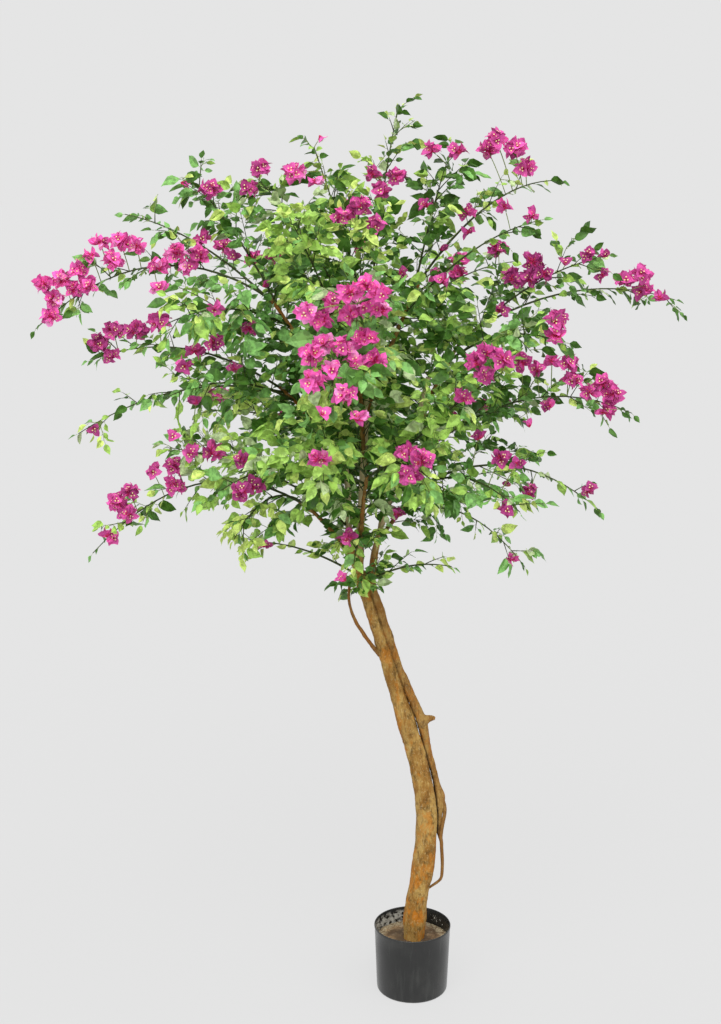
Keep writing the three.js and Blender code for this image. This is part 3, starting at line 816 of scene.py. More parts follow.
def blade(stations, half_widths, fold, droop, wave=0.0):
    """A leaf or a bract of length 1 along +X, faced to +Z: two strips that meet in the midrib."""
    points, faces = [], []
    for hand in (1, -1):
        first = len(points)
        for number, (s, w) in enumerate(zip(stations, half_widths)):
            bow = -droop * s * s
            points.append((s, 0.0, bow))
            points.append((s, hand * w, bow + fold * w + wave * math.sin(7 * s + hand) * w))
        for k in range(len(stations) - 1):
            a, b = first + 2 * k, first + 2 * k + 2
            faces += [(a, b, b + 1), (a, b + 1, a + 1)] if hand > 0 else [(a, b + 1, b), (a, a + 1, b + 1)]
    points, faces = np.array(points), np.array(faces)
    a, b, c = (points[faces[:, k]] for k in range(3))
    areas = np.linalg.norm(np.cross(b - a, c - a), axis=1)
    return points, faces[areas > 1e-9]


def placed(points, base, along, above, length):
    """A shape of length 1 set at its base, along a direction and facing another."""
    x = np.array(along.normalized())
    y = np.cross(np.array(above), x)
    y /= np.linalg.norm(y)
    z = np.cross(x, y)
    return np.array(base) + length * (points[:, :1] * x + points[:, 1:2] * y + points[:, 2:3] * z)


# ---- Materials ----


class Flow:
    """A value or colour on its way through a finish; sums and products of it add their own nodes."""

    def __init__(self, finish, socket):
        self.finish, self.socket = finish, socket

    def worked(self, operation, *terms):
        return self.finish.node("ShaderNodeMath", {"operation": operation}, dict(enumerate(terms)))

    def __add__(self, other):
        return self.worked("ADD", self, other)

    def __sub__(self, other):
        return self.worked("SUBTRACT", self, other)

    def __rsub__(self, other):
        return self.worked("SUBTRACT", other, self)

    def __mul__(self, other):
        return self.worked("MULTIPLY", self, other)

    def __pow__(self, other):
        return self.worked("POWER", self, other)

    __radd__, __rmul__ = __add__, __mul__

    def between(self, low, high):
        """0 below low, 1 above high, and smooth from one to the other."""
        return self.finish.node(
            "ShaderNodeMapRange",
            {"interpolation_type": "SMOOTHSTEP"},
            {"Value": self, "From Min": low, "From Max": high},
        )


class Finish:
    """A material built node by node around one Principled shader."""

    def __init__(self, name, **constants):
        self.material = bpy.data.materials.new(name)
        self.material.use_nodes = True
        self.tree = self.material.node_tree
        self.shader = self.tree.nodes["Principled BSDF"]
        for socket, value in constants.items():
            self.shader.inputs[socket.replace("_", " ")].default_value = value

    def node(self, kind, settings=None, sockets=None, output=0):
        """Adds a node: its settings first, then the values or links of its sockets."""
        made = self.tree.nodes.new(kind)
        for name, value in (settings or {}).items():
            setattr(made, name, value)
        for name, value in (sockets or {}).items():
            if isinstance(value, Flow):
                self.tree.links.new(value.socket, made.inputs[name])
            else:
                made.inputs[name].default_value = value
        return Flow(self, made.outputs[output])

    def place(self, scale=(1, 1, 1)):
        """Object coordinates, stretched."""
        where = self.node("ShaderNodeTexCoord", output="Object")
        return self.node("ShaderNodeMapping", {}, {"Vector": where, "Scale": scale})

    def noise(self, scale, detail=4.0, roughness=0.5, stretch=(1, 1, 1)):
        sockets = {"Vector": self.place(stretch), "Scale": scale, "Detail": detail, "Roughness": roughness}
        return self.node("ShaderNodeTexNoise", {}, sockets)

    def axes(self):
        """The object coordinates, each on its own."""
        parts = self.node("ShaderNodeSeparateXYZ", {}, {"Vector": self.place()})
        return [Flow(self, output) for output in parts.socket.node.outputs]

    def blend(self, share, first, second):
        """Two colours, mixed by a share. Sockets 0, 6 and 7 of the node are the share and the colours."""
        return self.node("ShaderNodeMix", {"data_type": "RGBA"}, {0: share, 6: first, 7: second}, output=2)

    def relief(self, height, distance, strength=1.0):
        """Bumps the surface by a height."""
        sockets = {"Height": height, "Distance": distance, "Strength": strength}
        bump = self.node("ShaderNodeBump", {}, sockets)
        self.link("Normal", bump)

    def link(self, socket, flow):
        self.tree.links.new(flow.socket, self.shader.inputs[socket])


def opaque(colour):
    """A colour with its alpha."""
    return (*colour, 1.0)


def plain_fabric(name, colour, roughness=0.6, gloss=0.3, glow=0.0, mottle=0.0):
    """Printed fabric of one colour, or mottled by a share; its glow stands for light that comes through."""
    finish = Finish(name, Base_Color=opaque(colour), Roughness=roughness, Specular_IOR_Level=gloss,
                    Emission_Color=opaque(colour), Emission_Strength=glow)
    if mottle:
        darker = opaque(tuple(c * (1 - mottle) for c in colour))
        paler = opaque(tuple(min(c * (1 + mottle) + 0.03 * mottle, 1) for c in colour))
        finish.link("Base Color", finish.blend(finish.noise(85, 3, 0.6).between(0.4, 0.6), darker, paler))
    return finish.material


# ---- What a user may change ----


def metres(name, description, default, **rest):
    """A size that a user may change."""
    return FloatProperty(name=name, description=description, default=default, unit="LENGTH",
                         precision=4, **rest)


def colour(name, description, default):
    """A colour that a user may change."""
    return FloatVectorProperty(name=name, description=description, default=default, subtype="COLOR",
                               size=3, min=0, max=1)


def lin(*values):
    """A colour given in 0-255 steps as shown on a screen, made linear."""
    return tuple(((v / 255 + 0.055) / 1.055) ** 2.4 if v > 10 else v / 255 / 12.92 for v in values)


class PotSizes(bpy.types.PropertyGroup):
    """Sizes and colour of the nursery pot."""

    height: metres("Height", "Height of the pot", POT["height"] * MM)
    rim: metres("Rim radius", "Outer radius at the rim", POT["rim"] * MM)
    foot: metres("Foot radius", "Outer radius at the foot", POT["foot"] * MM)
    wall: metres("Wall", "Thickness of the wall", POT["wall"] * MM)
    edge: metres("Edge", "Radius of the rounded bottom edge", POT["edge"] * MM)
    sides: IntProperty(name="Sides", description="Faces round the pot", default=96, min=12)
    plastic: colour("Plastic", "Colour of the plastic", lin(20, 21, 20))


class MortarSizes(bpy.types.PropertyGroup):
    """Level and colours of the mortar in the pot."""

    level: metres("Level", "Height of the mortar's top", FILL_LEVEL * MM)
    lumps: metres("Lumps", "How far the mortar's top is uneven", 0.0035)
    sand: colour("Sand", "Colour of the dry mortar", lin(150, 122, 86))
    # Painted shade: this colour is laid where the mortar's bumps are low.
    shade: colour("Shade", "Colour of its hollows", lin(84, 64, 42))


class WoodSizes(bpy.types.PropertyGroup):
    """Relief and colours of the bark."""

    relief: metres("Relief", "Depth of the bark's long ridges", 0.0024)
    grain: metres("Grain", "Depth of the bark's fine grain", 0.0008)
    cell: metres("Cell", "Size of the mesh's faces on the trunk", 0.0021)
    ochre: colour("Ochre", "Main colour of the bark", lin(138, 97, 40))
    tan: colour("Tan", "Pale greenish patches", lin(174, 141, 78))
    rust: colour("Rust", "Orange-brown patches", lin(180, 110, 24))
    olive: colour("Olive", "Greenish mottles", lin(92, 68, 28))
    umber: colour("Umber", "Dark streaks and cracks", lin(58, 36, 14))
    brown: colour("Brown", "Cast of the thinner wood", lin(112, 72, 34))
    # Painted light: this pale cast brightens the limbs inside the crown, where they lie in the crown's
    # shade.
    pale: colour("Pale", "Cast of the dry limbs in the crown", lin(240, 220, 176))


class TwigSizes(bpy.types.PropertyGroup):
    """Thickness and colours of the stems and twigs in the crown."""

    stem: metres("Stem", "Radius of a spray's stem at its root", 0.0026)
    tip: metres("Tip", "Radius of a spray's stem at its tip", 0.0009)
    stem_green: colour("Stem green", "Colour of stems and twigs", lin(62, 74, 34))
    stalk_green: colour("Stalk green", "Colour of the stalks of leaves and heads", lin(132, 152, 76))


class LeafSizes(bpy.types.PropertyGroup):
    """Sizes and colours of the leaves."""

    shortest: metres("Shortest", "Length of the smallest leaves", 0.017)
    longest: metres("Longest", "Length of the largest leaves", 0.043)
    deep: colour("Deep", "Dark green leaves", lin(64, 106, 30))
    blue: colour("Blue", "Blue-green leaves", lin(114, 165, 84))
    mid: colour("Mid", "Mid-green leaves", lin(148, 187, 82))
    grey: colour("Grey", "Dull grey-green leaves", lin(172, 192, 138))
    young: colour("Young", "Bright young leaves", lin(186, 210, 106))


class BlossomSizes(bpy.types.PropertyGroup):
    """Sizes and colours of the blossom."""

    bract: metres("Bract", "Length of a bract", 0.0215)
    spread: metres("Spread", "Radius of a head of ten flowers", 0.0160)
    fullness: FloatProperty(name="Fullness", default=1.6,
                            description="Flowers in each head against the plan", min=0.1)
    # Painted highlight: the pale pink stands in for highlights on the bracts, dealt to a share of them.
    pale: colour("Pale", "Pale pink bracts", lin(242, 150, 206))
    bright: colour("Bright", "Bright magenta bracts", lin(228, 100, 178))
    rose: colour("Rose", "Magenta bracts", lin(204, 84, 156))
    purple: colour("Purple", "Deep purple-magenta bracts", lin(172, 66, 130))
    base: colour("Base", "Crimson base of the bracts", lin(198, 52, 112))
    floret: colour("Floret", "Cream-yellow ends of the florets", lin(248, 232, 170))
    throat: colour("Throat", "Reddish tubes of the florets", lin(206, 84, 66))


class StageSettings(bpy.types.PropertyGroup):
    """Light, backdrop and camera."""

    backdrop: FloatProperty(name="Backdrop", description="Brightness of the backdrop", default=0.783)
    floor_share: FloatProperty(name="Floor", description="Share of light that the floor returns",
                               default=0.1, min=0, max=1, subtype="FACTOR")
    key: FloatProperty(name="Key light", description="Strength of the key light", default=1.7)
    fill: FloatProperty(name="Fill light", description="Strength of the fill light", default=0.9)
    distance: metres("Distance", "The camera stands this far in front of the pot", 3.0026)
    height: metres("Height", "Height of the camera", 1.7)
    aside: metres("Aside", "The camera stands this far to the right of the pot", -0.10828)
    tilt: FloatProperty(name="Tilt", description="The camera looks down by this angle",
                        default=math.radians(12.69), subtype="ANGLE")
    lens: FloatProperty(name="Lens", description="Focal length on a 36 mm frame", default=55.09,
                        unit="CAMERA")


# ---- Operators ----


def mesh_of(bm, name):
    """A smooth mesh from a bmesh, its faces outwards."""
    bmesh.ops.recalc_face_normals(bm, faces=bm.faces)
    mesh = bpy.data.meshes.new(name)
    bm.to_mesh(mesh)
    bm.free()
    mesh.shade_smooth()
    return mesh


def turned(outline, sides):
    """Spins an outline of (radius, height) points round the pot's axis."""
    bm = bmesh.new()
    points = [bm.verts.new((radius, 0, height)) for radius, height in outline]
    edges = [bm.edges.new(pair) for pair in zip(points, points[1:])]
    bmesh.ops.spin(bm, geom=points + edges, cent=(0, 0, 0), axis=(0, 0, 1), angle=2 * math.pi,
                   steps=sides, use_merge=True, use_duplicate=False)
    bmesh.ops.remove_doubles(bm, verts=bm.verts, dist=1e-5)
    return bm


LIP = 0.0007  # the rim stands out this far from the pot's wall


class BOUGAINVILLEA_OT_pot(bpy.types.Operator):
    """Make the black nursery pot"""

    bl_idname = "bougainvillea.pot"
    bl_label = "Pot"

    def execute(self, context):
        sizes = context.scene.pot_sizes
        inner_foot = sizes.foot - sizes.wall
        outline = [(0, 0), (sizes.foot * 0.5, 0), (sizes.foot - sizes.edge, 0)]
        for step in range(1, 6):
            turn = step / 5 * math.pi / 2
            outline.append((sizes.foot - sizes.edge + sizes.edge * math.sin(turn),
                            sizes.edge * (1 - math.cos(turn))))
        for share in (0.25, 0.5, 0.75, 0.955):
            outline.append((mix(sizes.foot, sizes.rim - LIP, share), sizes.height * share))
        outline += [
            (sizes.rim - 0.0001, sizes.height - 0.004), (sizes.rim, sizes.height - 0.001),
            (sizes.rim - 0.0005, sizes.height), (sizes.rim - sizes.wall + 0.0005, sizes.height),
            (sizes.rim - sizes.wall, sizes.height - 0.001),
            (mix(inner_foot, sizes.rim - sizes.wall, 0.6), sizes.height * 0.6),
            (inner_foot, POT["floor"] * MM), (0, POT["floor"] * MM),
        ]
        mesh = mesh_of(turned(outline, sizes.sides), "nursery_pot")
        finished("nursery_pot", mesh, self.plastic(sizes), ["pot"])
        return {"FINISHED"}

    def plastic(self, sizes):
        """Satin black plastic, scuffed down its sides and with dried splashes of mortar inside the rim."""
        finish = Finish("satin_plastic", Specular_IOR_Level=0.6)
        scuffs = finish.noise(90, 3, 0.6, (1, 1, 0.12)).between(0.5, 0.8)
        dust = finish.noise(14, 4, 0.6).between(0.45, 0.8)
        x, y, z = finish.axes()
        distance = (x * x + y * y) ** 0.5
        slope = (sizes.rim - sizes.foot) / sizes.height
        middle = z * slope + (sizes.foot - sizes.wall * 0.6)
        inside = (middle - distance).between(0.0, 0.0002)
        low = 1 - z.between(sizes.height - 0.012, sizes.height - 0.003)
        left = 1 - x.between(-0.02, 0.02)
        smears = finish.noise(95, 6, 0.75)
        splash = (smears.between(0.44, 0.54) * left * 0.8 + smears.between(0.6, 0.63)) * inside * low
        worn = finish.blend(scuffs * 0.35, opaque(sizes.plastic), opaque(lin(66, 67, 64)))
        dusty = finish.blend(dust * 0.25, worn, opaque(lin(72, 72, 68)))
        finish.link("Base Color", finish.blend(splash, dusty, opaque(lin(176, 174, 164))))
        finish.link("Roughness", scuffs * 0.12 + dust * 0.08 + splash * 0.4 + 0.24)
        finish.relief(finish.noise(60, 4, 0.6) * 0.3 + splash, 0.0006, 0.5)
        return finish.material


class BOUGAINVILLEA_OT_mortar(bpy.types.Operator):
    """Fill the pot with mortar, uneven on top"""

    bl_idname = "bougainvillea.mortar"
    bl_label = "Mortar"

    def execute(self, context):
        sizes, pot = context.scene.mortar_sizes, context.scene.pot_sizes
        share = sizes.level / pot.height
        edge = mix(pot.foot, pot.rim, share) - pot.wall - 0.0003
        floor = POT["floor"] * MM + 0.0003
        foot = pot.foot - pot.wall - 0.0006  # clear of the pot's inside all round
        outline = [(0, floor), (foot, floor), (edge - 0.0006, sizes.level - 0.004)]
        outline += [(edge * k / 30, sizes.level) for k in range(30, -1, -1)]
        bm = turned(outline, 120)
        for vert in bm.verts:
            if vert.co.z > sizes.level - 1e-4:
                away = vert.co.xy.length
                rough = noise.fractal(vert.co * 38, 0.7, 2.1, 5)
                crumb = max(0, noise.noise(vert.co * 150) - 0.25) * 1.6
                rim = smoothstep(away, edge * 0.8, edge)
                heap = 0.5 * math.exp(-((away - 0.024) / 0.012) ** 2)  # heaped against the trunk
                vert.co.z += sizes.lumps * (0.55 * rough + crumb + heap - 0.5 - 0.3 * rim)
        mesh = mesh_of(bm, "mortar_bed")
        finished("mortar_bed", mesh, self.mortar(sizes), ["pot_fill"])
        return {"FINISHED"}

    def mortar(self, sizes):
        """Sandy mortar: speckled, with painted shade in its hollows and in dark patches round the trunk,
        and with pale dry edges.
        """
        finish = Finish("sandy_mortar")
        broad = finish.noise(38, 5, 0.6)
        grains = finish.noise(420, 3, 0.7)
        # Painted shade: the broad hollows of the bump take the shade colour.
        earth = finish.blend(broad.between(0.35, 0.6), opaque(sizes.shade), opaque(sizes.sand))
        pale = finish.noise(70, 4, 0.6).between(0.56, 0.68)
        x, y, _ = finish.axes()
        away = (x * x + y * y) ** 0.5
        crumbs = finish.noise(120, 4, 0.7).between(0.44, 0.52) * away.between(0.052, 0.066)
        # Painted shade: dark patches round the trunk's foot.
        painted_hollow_shade = (1 - away.between(0.03, 0.05)) * finish.noise(55, 4, 0.6).between(0.34, 0.52)
        dry = finish.blend(pale * 0.6 + crumbs * 0.8, earth, opaque(lin(196, 182, 150)))
        dry = finish.blend(painted_hollow_shade * 0.75, dry, opaque(lin(48, 36, 24)))
        # Painted shade: the shade colour goes where the fine grain's bumps are low.
        finish.link("Base Color", finish.blend(grains.between(0.3, 0.6), opaque(sizes.shade), dry))
        finish.link("Roughness", grains * 0.1 + 0.85)
        finish.relief(grains + broad, 0.0012, 0.8)
        return finish.material


# How far the bark of the thinner wood leans towards brown.
BROWN_SHARES = {"natural_bark": 0.0, "brown_bark": 0.3, "vine_bark": 0.65, "pale_bark": 0.1}


def bark(sizes, name):
    """Bare natural wood: ochre mottled with tan and olive, rusty near the foot, with painted shade in its
    creases; the limbs' bark turns pale in the crown, which is painted light.
    """
    if name in bpy.data.materials:
        return bpy.data.materials[name]
    finish = Finish(name, Specular_IOR_Level=0.2)
    height = finish.axes()[2]
    low = 1 - height.between(0.2, 0.32)
    patches = finish.noise(30, 6, 0.7, (1, 1, 0.5))
    mottles = finish.noise(64, 7, 0.74, (1, 1, 0.6))
    rusty = finish.noise(36, 5, 0.65, (1, 1, 0.55)).between(0.5, 0.58)
    streaks = finish.noise(150, 4, 0.65, (1, 1, 0.3))
    flecks = finish.noise(330, 2, 0.6, (1, 1, 0.6)).between(0.58, 0.68)
    crease = finish.node("ShaderNodeAttribute", {"attribute_name": "crease"}, output="Fac")
    ground = finish.blend(patches.between(0.4, 0.6), opaque(sizes.ochre), opaque(sizes.tan))
    mossy = finish.blend(mottles.between(0.5, 0.64) * 0.85, ground, opaque(sizes.olive))
    warm = finish.blend(rusty * (low * 0.35 + 0.5), mossy, opaque(sizes.rust))
    streaked = finish.blend((1 - streaks.between(0.32, 0.48)) * 0.42, warm, opaque(sizes.umber))
    wood = finish.blend(flecks * 0.32, streaked, opaque(lin(206, 186, 140)))
    wood = finish.blend(BROWN_SHARES[name], wood, opaque(sizes.brown))
    # Painted light: the limbs' bark turns pale between 0.92 and 1.06 m, inside the shaded crown.
    if name == "pale_bark":
        wood = finish.blend(height.between(0.92, 1.06) * 0.9, wood, opaque(sizes.pale))
    # Painted shade: the bark darkens in the crease beside the neighbouring stem, and less so high up.
    painted_crease_shade = crease * (1 - height.between(0.54, 0.64) * 0.75) * 0.9
    finish.link("Base Color", finish.blend(painted_crease_shade, wood, opaque(lin(30, 20, 10))))
    finish.link("Roughness", patches * 0.2 + 0.65)
    finish.relief(streaks * 0.6 + mottles * 0.9 + patches, 0.0024, 1.0)
    return finish.material


def mark_creases(mesh, others):
    """Marks how deep each point of a mesh lies in the crease beside other pieces of wood, for the bark's
    painted shade there.
    """
    points = np.empty(len(mesh.vertices) * 3, dtype=np.float32)
    mesh.vertices.foreach_get("co", points)
    points = points.reshape(-1, 3) / MM
    depth = np.zeros(len(points))
    for name in others:
        path, radius = wood_paths()[name]
        stops = np.array(path.points(90))
        radii = np.array([radius(k / 90) for k in range(91)])
        free = (np.linalg.norm(points[:, None] - stops[None], axis=2) - radii).min(1)
        share = np.clip(1 - free / CREASE, 0, 1)
        depth = np.maximum(depth, share * share * (3 - 2 * share))
    mesh.attributes.new("crease", "FLOAT", "POINT").data.foreach_set("value", depth.astype(np.float32))


def bend(bm, path, radius_at, sides, rings, sizes, seed, lobes):
    """Wraps a grid round a path: a tube with ridges along it and a fine grain, its two ends open."""
    old = set(bm.verts)
    bmesh.ops.create_grid(bm, x_segments=sides, y_segments=rings, size=0.5)
    new = [v for v in bm.verts if v not in old]
    side = path.sideways()
    frames = []
    for i in range(rings + 1):
        share = i / rings
        along = path.direction(share)
        across = (side - along * side.dot(along)).normalized()
        frames.append((path.point(share), across, across.cross(along), radius_at(share)))
    for v in new:
        turn = (v.co.x + 0.5) * 2 * math.pi
        share = v.co.y + 0.5
        centre, across, over, radius = frames[round(share * rings)]
        out = across * math.cos(turn) + over * math.sin(turn)
        place = centre + out * radius
        spiral = turn + 1.6 * share
        ridge = lobes * (0.5 * math.sin(3 * spiral + seed) + 0.35 * math.sin(5 * spiral - 2 * seed))
        along_wood = Vector((place.x, place.y, place.z * 0.3)) / 22 + Vector((seed, 0, 0))
        swell = noise.fractal(along_wood, 0.9, 2, 4)
        grain = noise.fractal(Vector((place.x, place.y, place.z * 0.16)) / 4.5, 0.7, 2, 3)
        grown = ridge + swell * sizes.relief / MM + grain * sizes.grain / MM
        v.co = (centre + out * (radius + grown * min(1, radius / 8))) * MM
    bmesh.ops.remove_doubles(bm, verts=new, dist=1e-7)


def close_ends(bm):
    """Caps the open ends of the tubes in a mesh."""
    bmesh.ops.holes_fill(bm, edges=bm.edges, sides=0)
    bmesh.ops.triangulate(bm, faces=[f for f in bm.faces if len(f.verts) > 4])


def wooden(name, sizes, kind, sides, rings, seed, lobes):
    """One piece of thin wood along its own path, with its kind of bark."""
    path, radius = wood_paths()[name]
    bm = bmesh.new()
    bend(bm, path, radius, sides, rings, sizes, seed, lobes)
    close_ends(bm)
    mesh = mesh_of(bm, name + "_bark")
    return finished(name + "_bark", mesh, bark(sizes, kind), [name])


class BOUGAINVILLEA_OT_stems(bpy.types.Operator):
    """Make the trunk and the second stem with its cut stub"""

    bl_idname = "bougainvillea.stems"
    bl_label = "Stems"

    def execute(self, context):
        sizes = context.scene.wood_sizes
        cell = sizes.cell / MM
        for number, name in enumerate(STEMS):
            path, radius = wood_paths()[name]
            sides, lobes = (64, 0.9) if name == "trunk" else (40, 0.5)
            bm = bmesh.new()
            bend(bm, path, radius, sides, round(path.length() / cell), sizes, 1.7 * number, lobes)
            if name == "second_stem":
                # The stub flares out of the stem and bows a little; a spur runs down into the low vine.
                stub = Arch(Vector(STUB["from"]), Vector(STUB["to"]) - UP * 4, 4)
                bend(bm, stub, lambda s: STUB["radius"] * (1.75 - 1.43 * s**0.85), 24, 24, sizes, 5.1, 0.5)
                spur = Arch(path.point(0.02), Vector(VINES["low_vine"]["line"][3]), 0.0)
                bend(bm, spur, lambda s: mix(4.2, 2.4, s), 16, 16, sizes, 2.2, 0.2)
            close_ends(bm)
            mesh = mesh_of(bm, name + "_bark")
            mark_creases(mesh, ["second_stem"] if name == "trunk" else ["trunk"])
            finish = bark(sizes, "natural_bark" if name == "trunk" else "brown_bark")
            finished(name + "_bark", mesh, finish, [name])
        return {"FINISHED"}


class BOUGAINVILLEA_OT_vines(bpy.types.Operator):
    """Make the thin vines that leave the stems"""

    bl_idname = "bougainvillea.vines"
    bl_label = "Vines"

    def execute(self, context):
        for number, name in enumerate(VINES):
            wooden(name, context.scene.wood_sizes, "vine_bark", 16, 110, seed=3.3 + number, lobes=0.5)
        return {"FINISHED"}


class BOUGAINVILLEA_OT_limbs(bpy.types.Operator):
    """Make the three limbs inside the crown"""

    bl_idname = "bougainvillea.limbs"
    bl_label = "Limbs"

    def execute(self, context):
        for number, name in enumerate(LIMBS):
            wooden(name, context.scene.wood_sizes, "pale_bark", 20, 150, seed=7.3 + number, lobes=0.4)
        return {"FINISHED"}


class BOUGAINVILLEA_OT_boughs(bpy.types.Operator):
    """Make the boughs that carry the sprays"""

    bl_idname = "bougainvillea.boughs"
    bl_label = "Boughs"

    def execute(self, context):
        for number, name in enumerate(BOUGHS):
            wooden(name, context.scene.wood_sizes, "brown_bark", 12, 60, seed=11.3 + number, lobes=0.3)
        return {"FINISHED"}


class BOUGAINVILLEA_OT_twigs(bpy.types.Operator):
    """Make the stems and twigs of all sprays"""

    bl_idname = "bougainvillea.twigs"
    bl_label = "Twigs"

    def execute(self, context):
        sizes = context.scene.twig_sizes
        stems, stalks = Heap(), Heap()
        for spray in sprays():
            stops = spray.path.points(14)
            radii = [mix(sizes.stem, sizes.tip, i / 14) / MM for i in range(15)]
            stems.add(*tube(stops, radii, 6))
        for twig in twigs():
            heap, count, sides = (stems, 4, 4) if twig.order == 1 else (stalks, 2, 3)
            radii = [mix(*twig.radii, i / count) for i in range(count + 1)]
            heap.add(*tube(twig.path.points(count), radii, sides))
        for leaf, stalk in leaves():
            stalks.add(*spindle(leaf.base, leaf.base + leaf.along * stalk * 1.3, 0.55))
        stems.piece("spray_stems", plain_fabric("stem_green", sizes.stem_green))
        stalks.piece("leaf_stalks", plain_fabric("stalk_green", sizes.stalk_green))
        return {"FINISHED"}


# A leaf's stations along its midrib with its half-widths there, and the fold, droop and wave of four.
LEAF_OUTLINE = ((0, 0.08, 0.25, 0.48, 0.7, 0.88, 1), (0, 0.14, 0.27, 0.29, 0.2, 0.07, 0))
LEAF_BENDS = ((0.35, 0.12, 0.1), (0.15, 0.22, 0.25), (0.5, 0.05, 0.15), (0.25, 0.3, 0.2))


class BOUGAINVILLEA_OT_leaves(bpy.types.Operator):
    """Make the leaves, one joined mesh for each green"""

    bl_idname = "bougainvillea.leaves"
    bl_label = "Leaves"

    def execute(self, context):
        sizes = context.scene.leaf_sizes
        shapes = [blade(*LEAF_OUTLINE, *bends) for bends in LEAF_BENDS]
        heaps = [Heap() for _ in TONE_NAMES]
        for number, (leaf, stalk) in enumerate(leaves()):
            points, faces = shapes[number * 7 % len(shapes)]
            base = leaf.base + leaf.along * stalk
            heaps[leaf.tone].add(placed(points, base, leaf.along, leaf.above, leaf.length), faces)
        for tone, heap in zip(TONE_NAMES, heaps):
            finish = plain_fabric("leaf_" + tone, getattr(sizes, tone), 0.42, glow=0.05, mottle=0.3)
            heap.piece("leaves_" + tone, finish)
        return {"FINISHED"}


# A bract's stations along its middle and its half-widths there.
BRACT_OUTLINE = ((0, 0.14, 0.34, 0.56, 0.78, 1), (0.05, 0.18, 0.3, 0.34, 0.26, 0))
OPENINGS = ((6, 22), (11, 38), (18, 54))  # lean of a bract at its foot and at its tip, in degrees
# The pale tone is painted highlight, dealt to some bracts of the bright sprays.
BRACT_TONES = ("pale", "bright", "rose", "purple")
BASE_SHARE = 0.26  # faces of a bract nearer than this to its foot are crimson
FLOWER_SPACING = 7.5  # between the flowers of a head
LONG_REACH, FORK_BACK = 12, 9  # a stalk this much longer than its head forks this far behind it
FLORET, TUBE = 2.0, 1.0  # radii of a floret's end and of its tube
THIRD = 2.0944  # a third of a turn, in radians


def bract(foot_lean, tip_lean):
    """One bract of a flower that stands on the origin and opens to +Z, for a bract of length 1."""
    points, faces = blade(*BRACT_OUTLINE, 0, 0)
    shaped = []
    for s, w, _ in points:
        lean = math.radians(mix(foot_lean, tip_lean, s))
        cup = 0.9 * w * w
        out = s * math.sin(lean) * 0.95 - cup * math.cos(lean)
        shaped.append((out, w, s * math.cos(lean) + cup * math.sin(lean)))
    return np.array(shaped), faces


def star():
    """The end of a floret: a cupped star of five points, of radius 1."""
    points = [(0, 0, 0)]
    for k in range(10):
        reach, rise = (0.45, 0) if k % 2 else (1.0, 0.25)
        points.append((reach * math.cos(k * math.pi / 5), reach * math.sin(k * math.pi / 5), rise))
    return np.array(points), np.array([(0, 1 + k, 1 + (k + 1) % 10) for k in range(10)])


def flower_spots(head, count, spread, draw):
    """Places for the flowers in a head, none too near to another, and the way that each faces."""
    spots = []
    for _ in range(600):
        if len(spots) == count:
            break
        way = Vector((mix(-1, 1, draw()), mix(-1, 1, draw()), mix(-0.8, 1, draw())))
        if not 0.1 < way.length < 1:
            continue
        spot = head.centre + Vector((way.x, way.y, way.z * 0.75)) * spread
        if all((spot - other).length > FLOWER_SPACING for other, _ in spots):
            spots.append((spot, way.normalized()))
    return spots


class Blossom:
    """All heads of blossom on their way to joined meshes, each kind and tone apart."""

    def __init__(self, sizes):
        self.sizes = sizes
        self.bracts = {tone: Heap() for tone in BRACT_TONES}
        self.bases, self.florets, self.tubes, self.stalks = Heap(), Heap(), Heap(), Heap()
        self.shapes = [bract(*leans)[0] for leans in OPENINGS]
        faces = bract(*OPENINGS[0])[1]
        inner = self.shapes[0][faces].mean(1)[:, 2] < BASE_SHARE
        self.base_faces, self.outer_faces = faces[inner], faces[~inner]
        self.star, self.star_faces = star()

    def add_head(self, head):
        """A head's flowers on stalks from its root, or from a fork where the head stands far out."""
        draw = seeded(head.seed)
        count = max(1, round(head.flowers * self.sizes.fullness))
        spread = self.sizes.spread / MM * (head.flowers / 10) ** 0.5
        spots = flower_spots(head, count, spread, draw)
        reach, fork = head.centre - head.root, head.root
        if reach.length > spread + LONG_REACH:
            fork = head.centre - reach.normalized() * (spread * 0.6 + FORK_BACK)
            self.stalks.add(*tube(Arch(head.root, fork, reach.length * 0.03).points(5), [0.9] * 6, 4))
        for spot, way in spots:
            self.add_flower(head.tone, fork, spot, way, draw)

    def add_flower(self, own_tone, fork, spot, way, draw):
        """Three bracts round the flower's axis, each with a floret before it."""
        axis = (way + Vector((mix(-0.7, 0.7, draw()), mix(-0.7, 0.7, draw()), 0.4))).normalized()
        length = self.sizes.bract / MM * mix(0.8, 1.15, draw())
        shape = self.shapes[pick(draw, (0.3, 0.4, 0.3))]
        place = BRACT_TONES.index(own_tone) + pick(draw, (0.24, 0.5, 0.26)) - 1
        tone = BRACT_TONES[min(max(place, 0), len(BRACT_TONES) - 1)]
        base = spot - axis * length * 0.35
        self.stalks.add(*spindle(fork, base + axis, 0.7))
        spin = draw() * 6.3
        across = axis.orthogonal().normalized()
        over = axis.cross(across)
        for k in range(3):
            turn = spin + k * THIRD
            out = across * math.cos(turn) + over * math.sin(turn)
            x, y, z = (np.array(v) for v in (out, axis.cross(out), axis))
            grown = np.array(base) + length * (shape[:, :1] * x + shape[:, 1:2] * y + shape[:, 2:] * z)
            self.bracts[tone if draw() < 0.65 else own_tone].add(grown, self.outer_faces)
            self.bases.add(grown, self.base_faces)
            tip = base + out * 3.4 + axis * length * mix(0.5, 0.66, draw())
            self.tubes.add(*spindle(base + out * 1.2, tip, TUBE))
            flat = self.star[:, :1] * x + self.star[:, 1:2] * y + self.star[:, 2:] * z
            self.florets.add(np.array(tip) + FLORET * flat, self.star_faces)


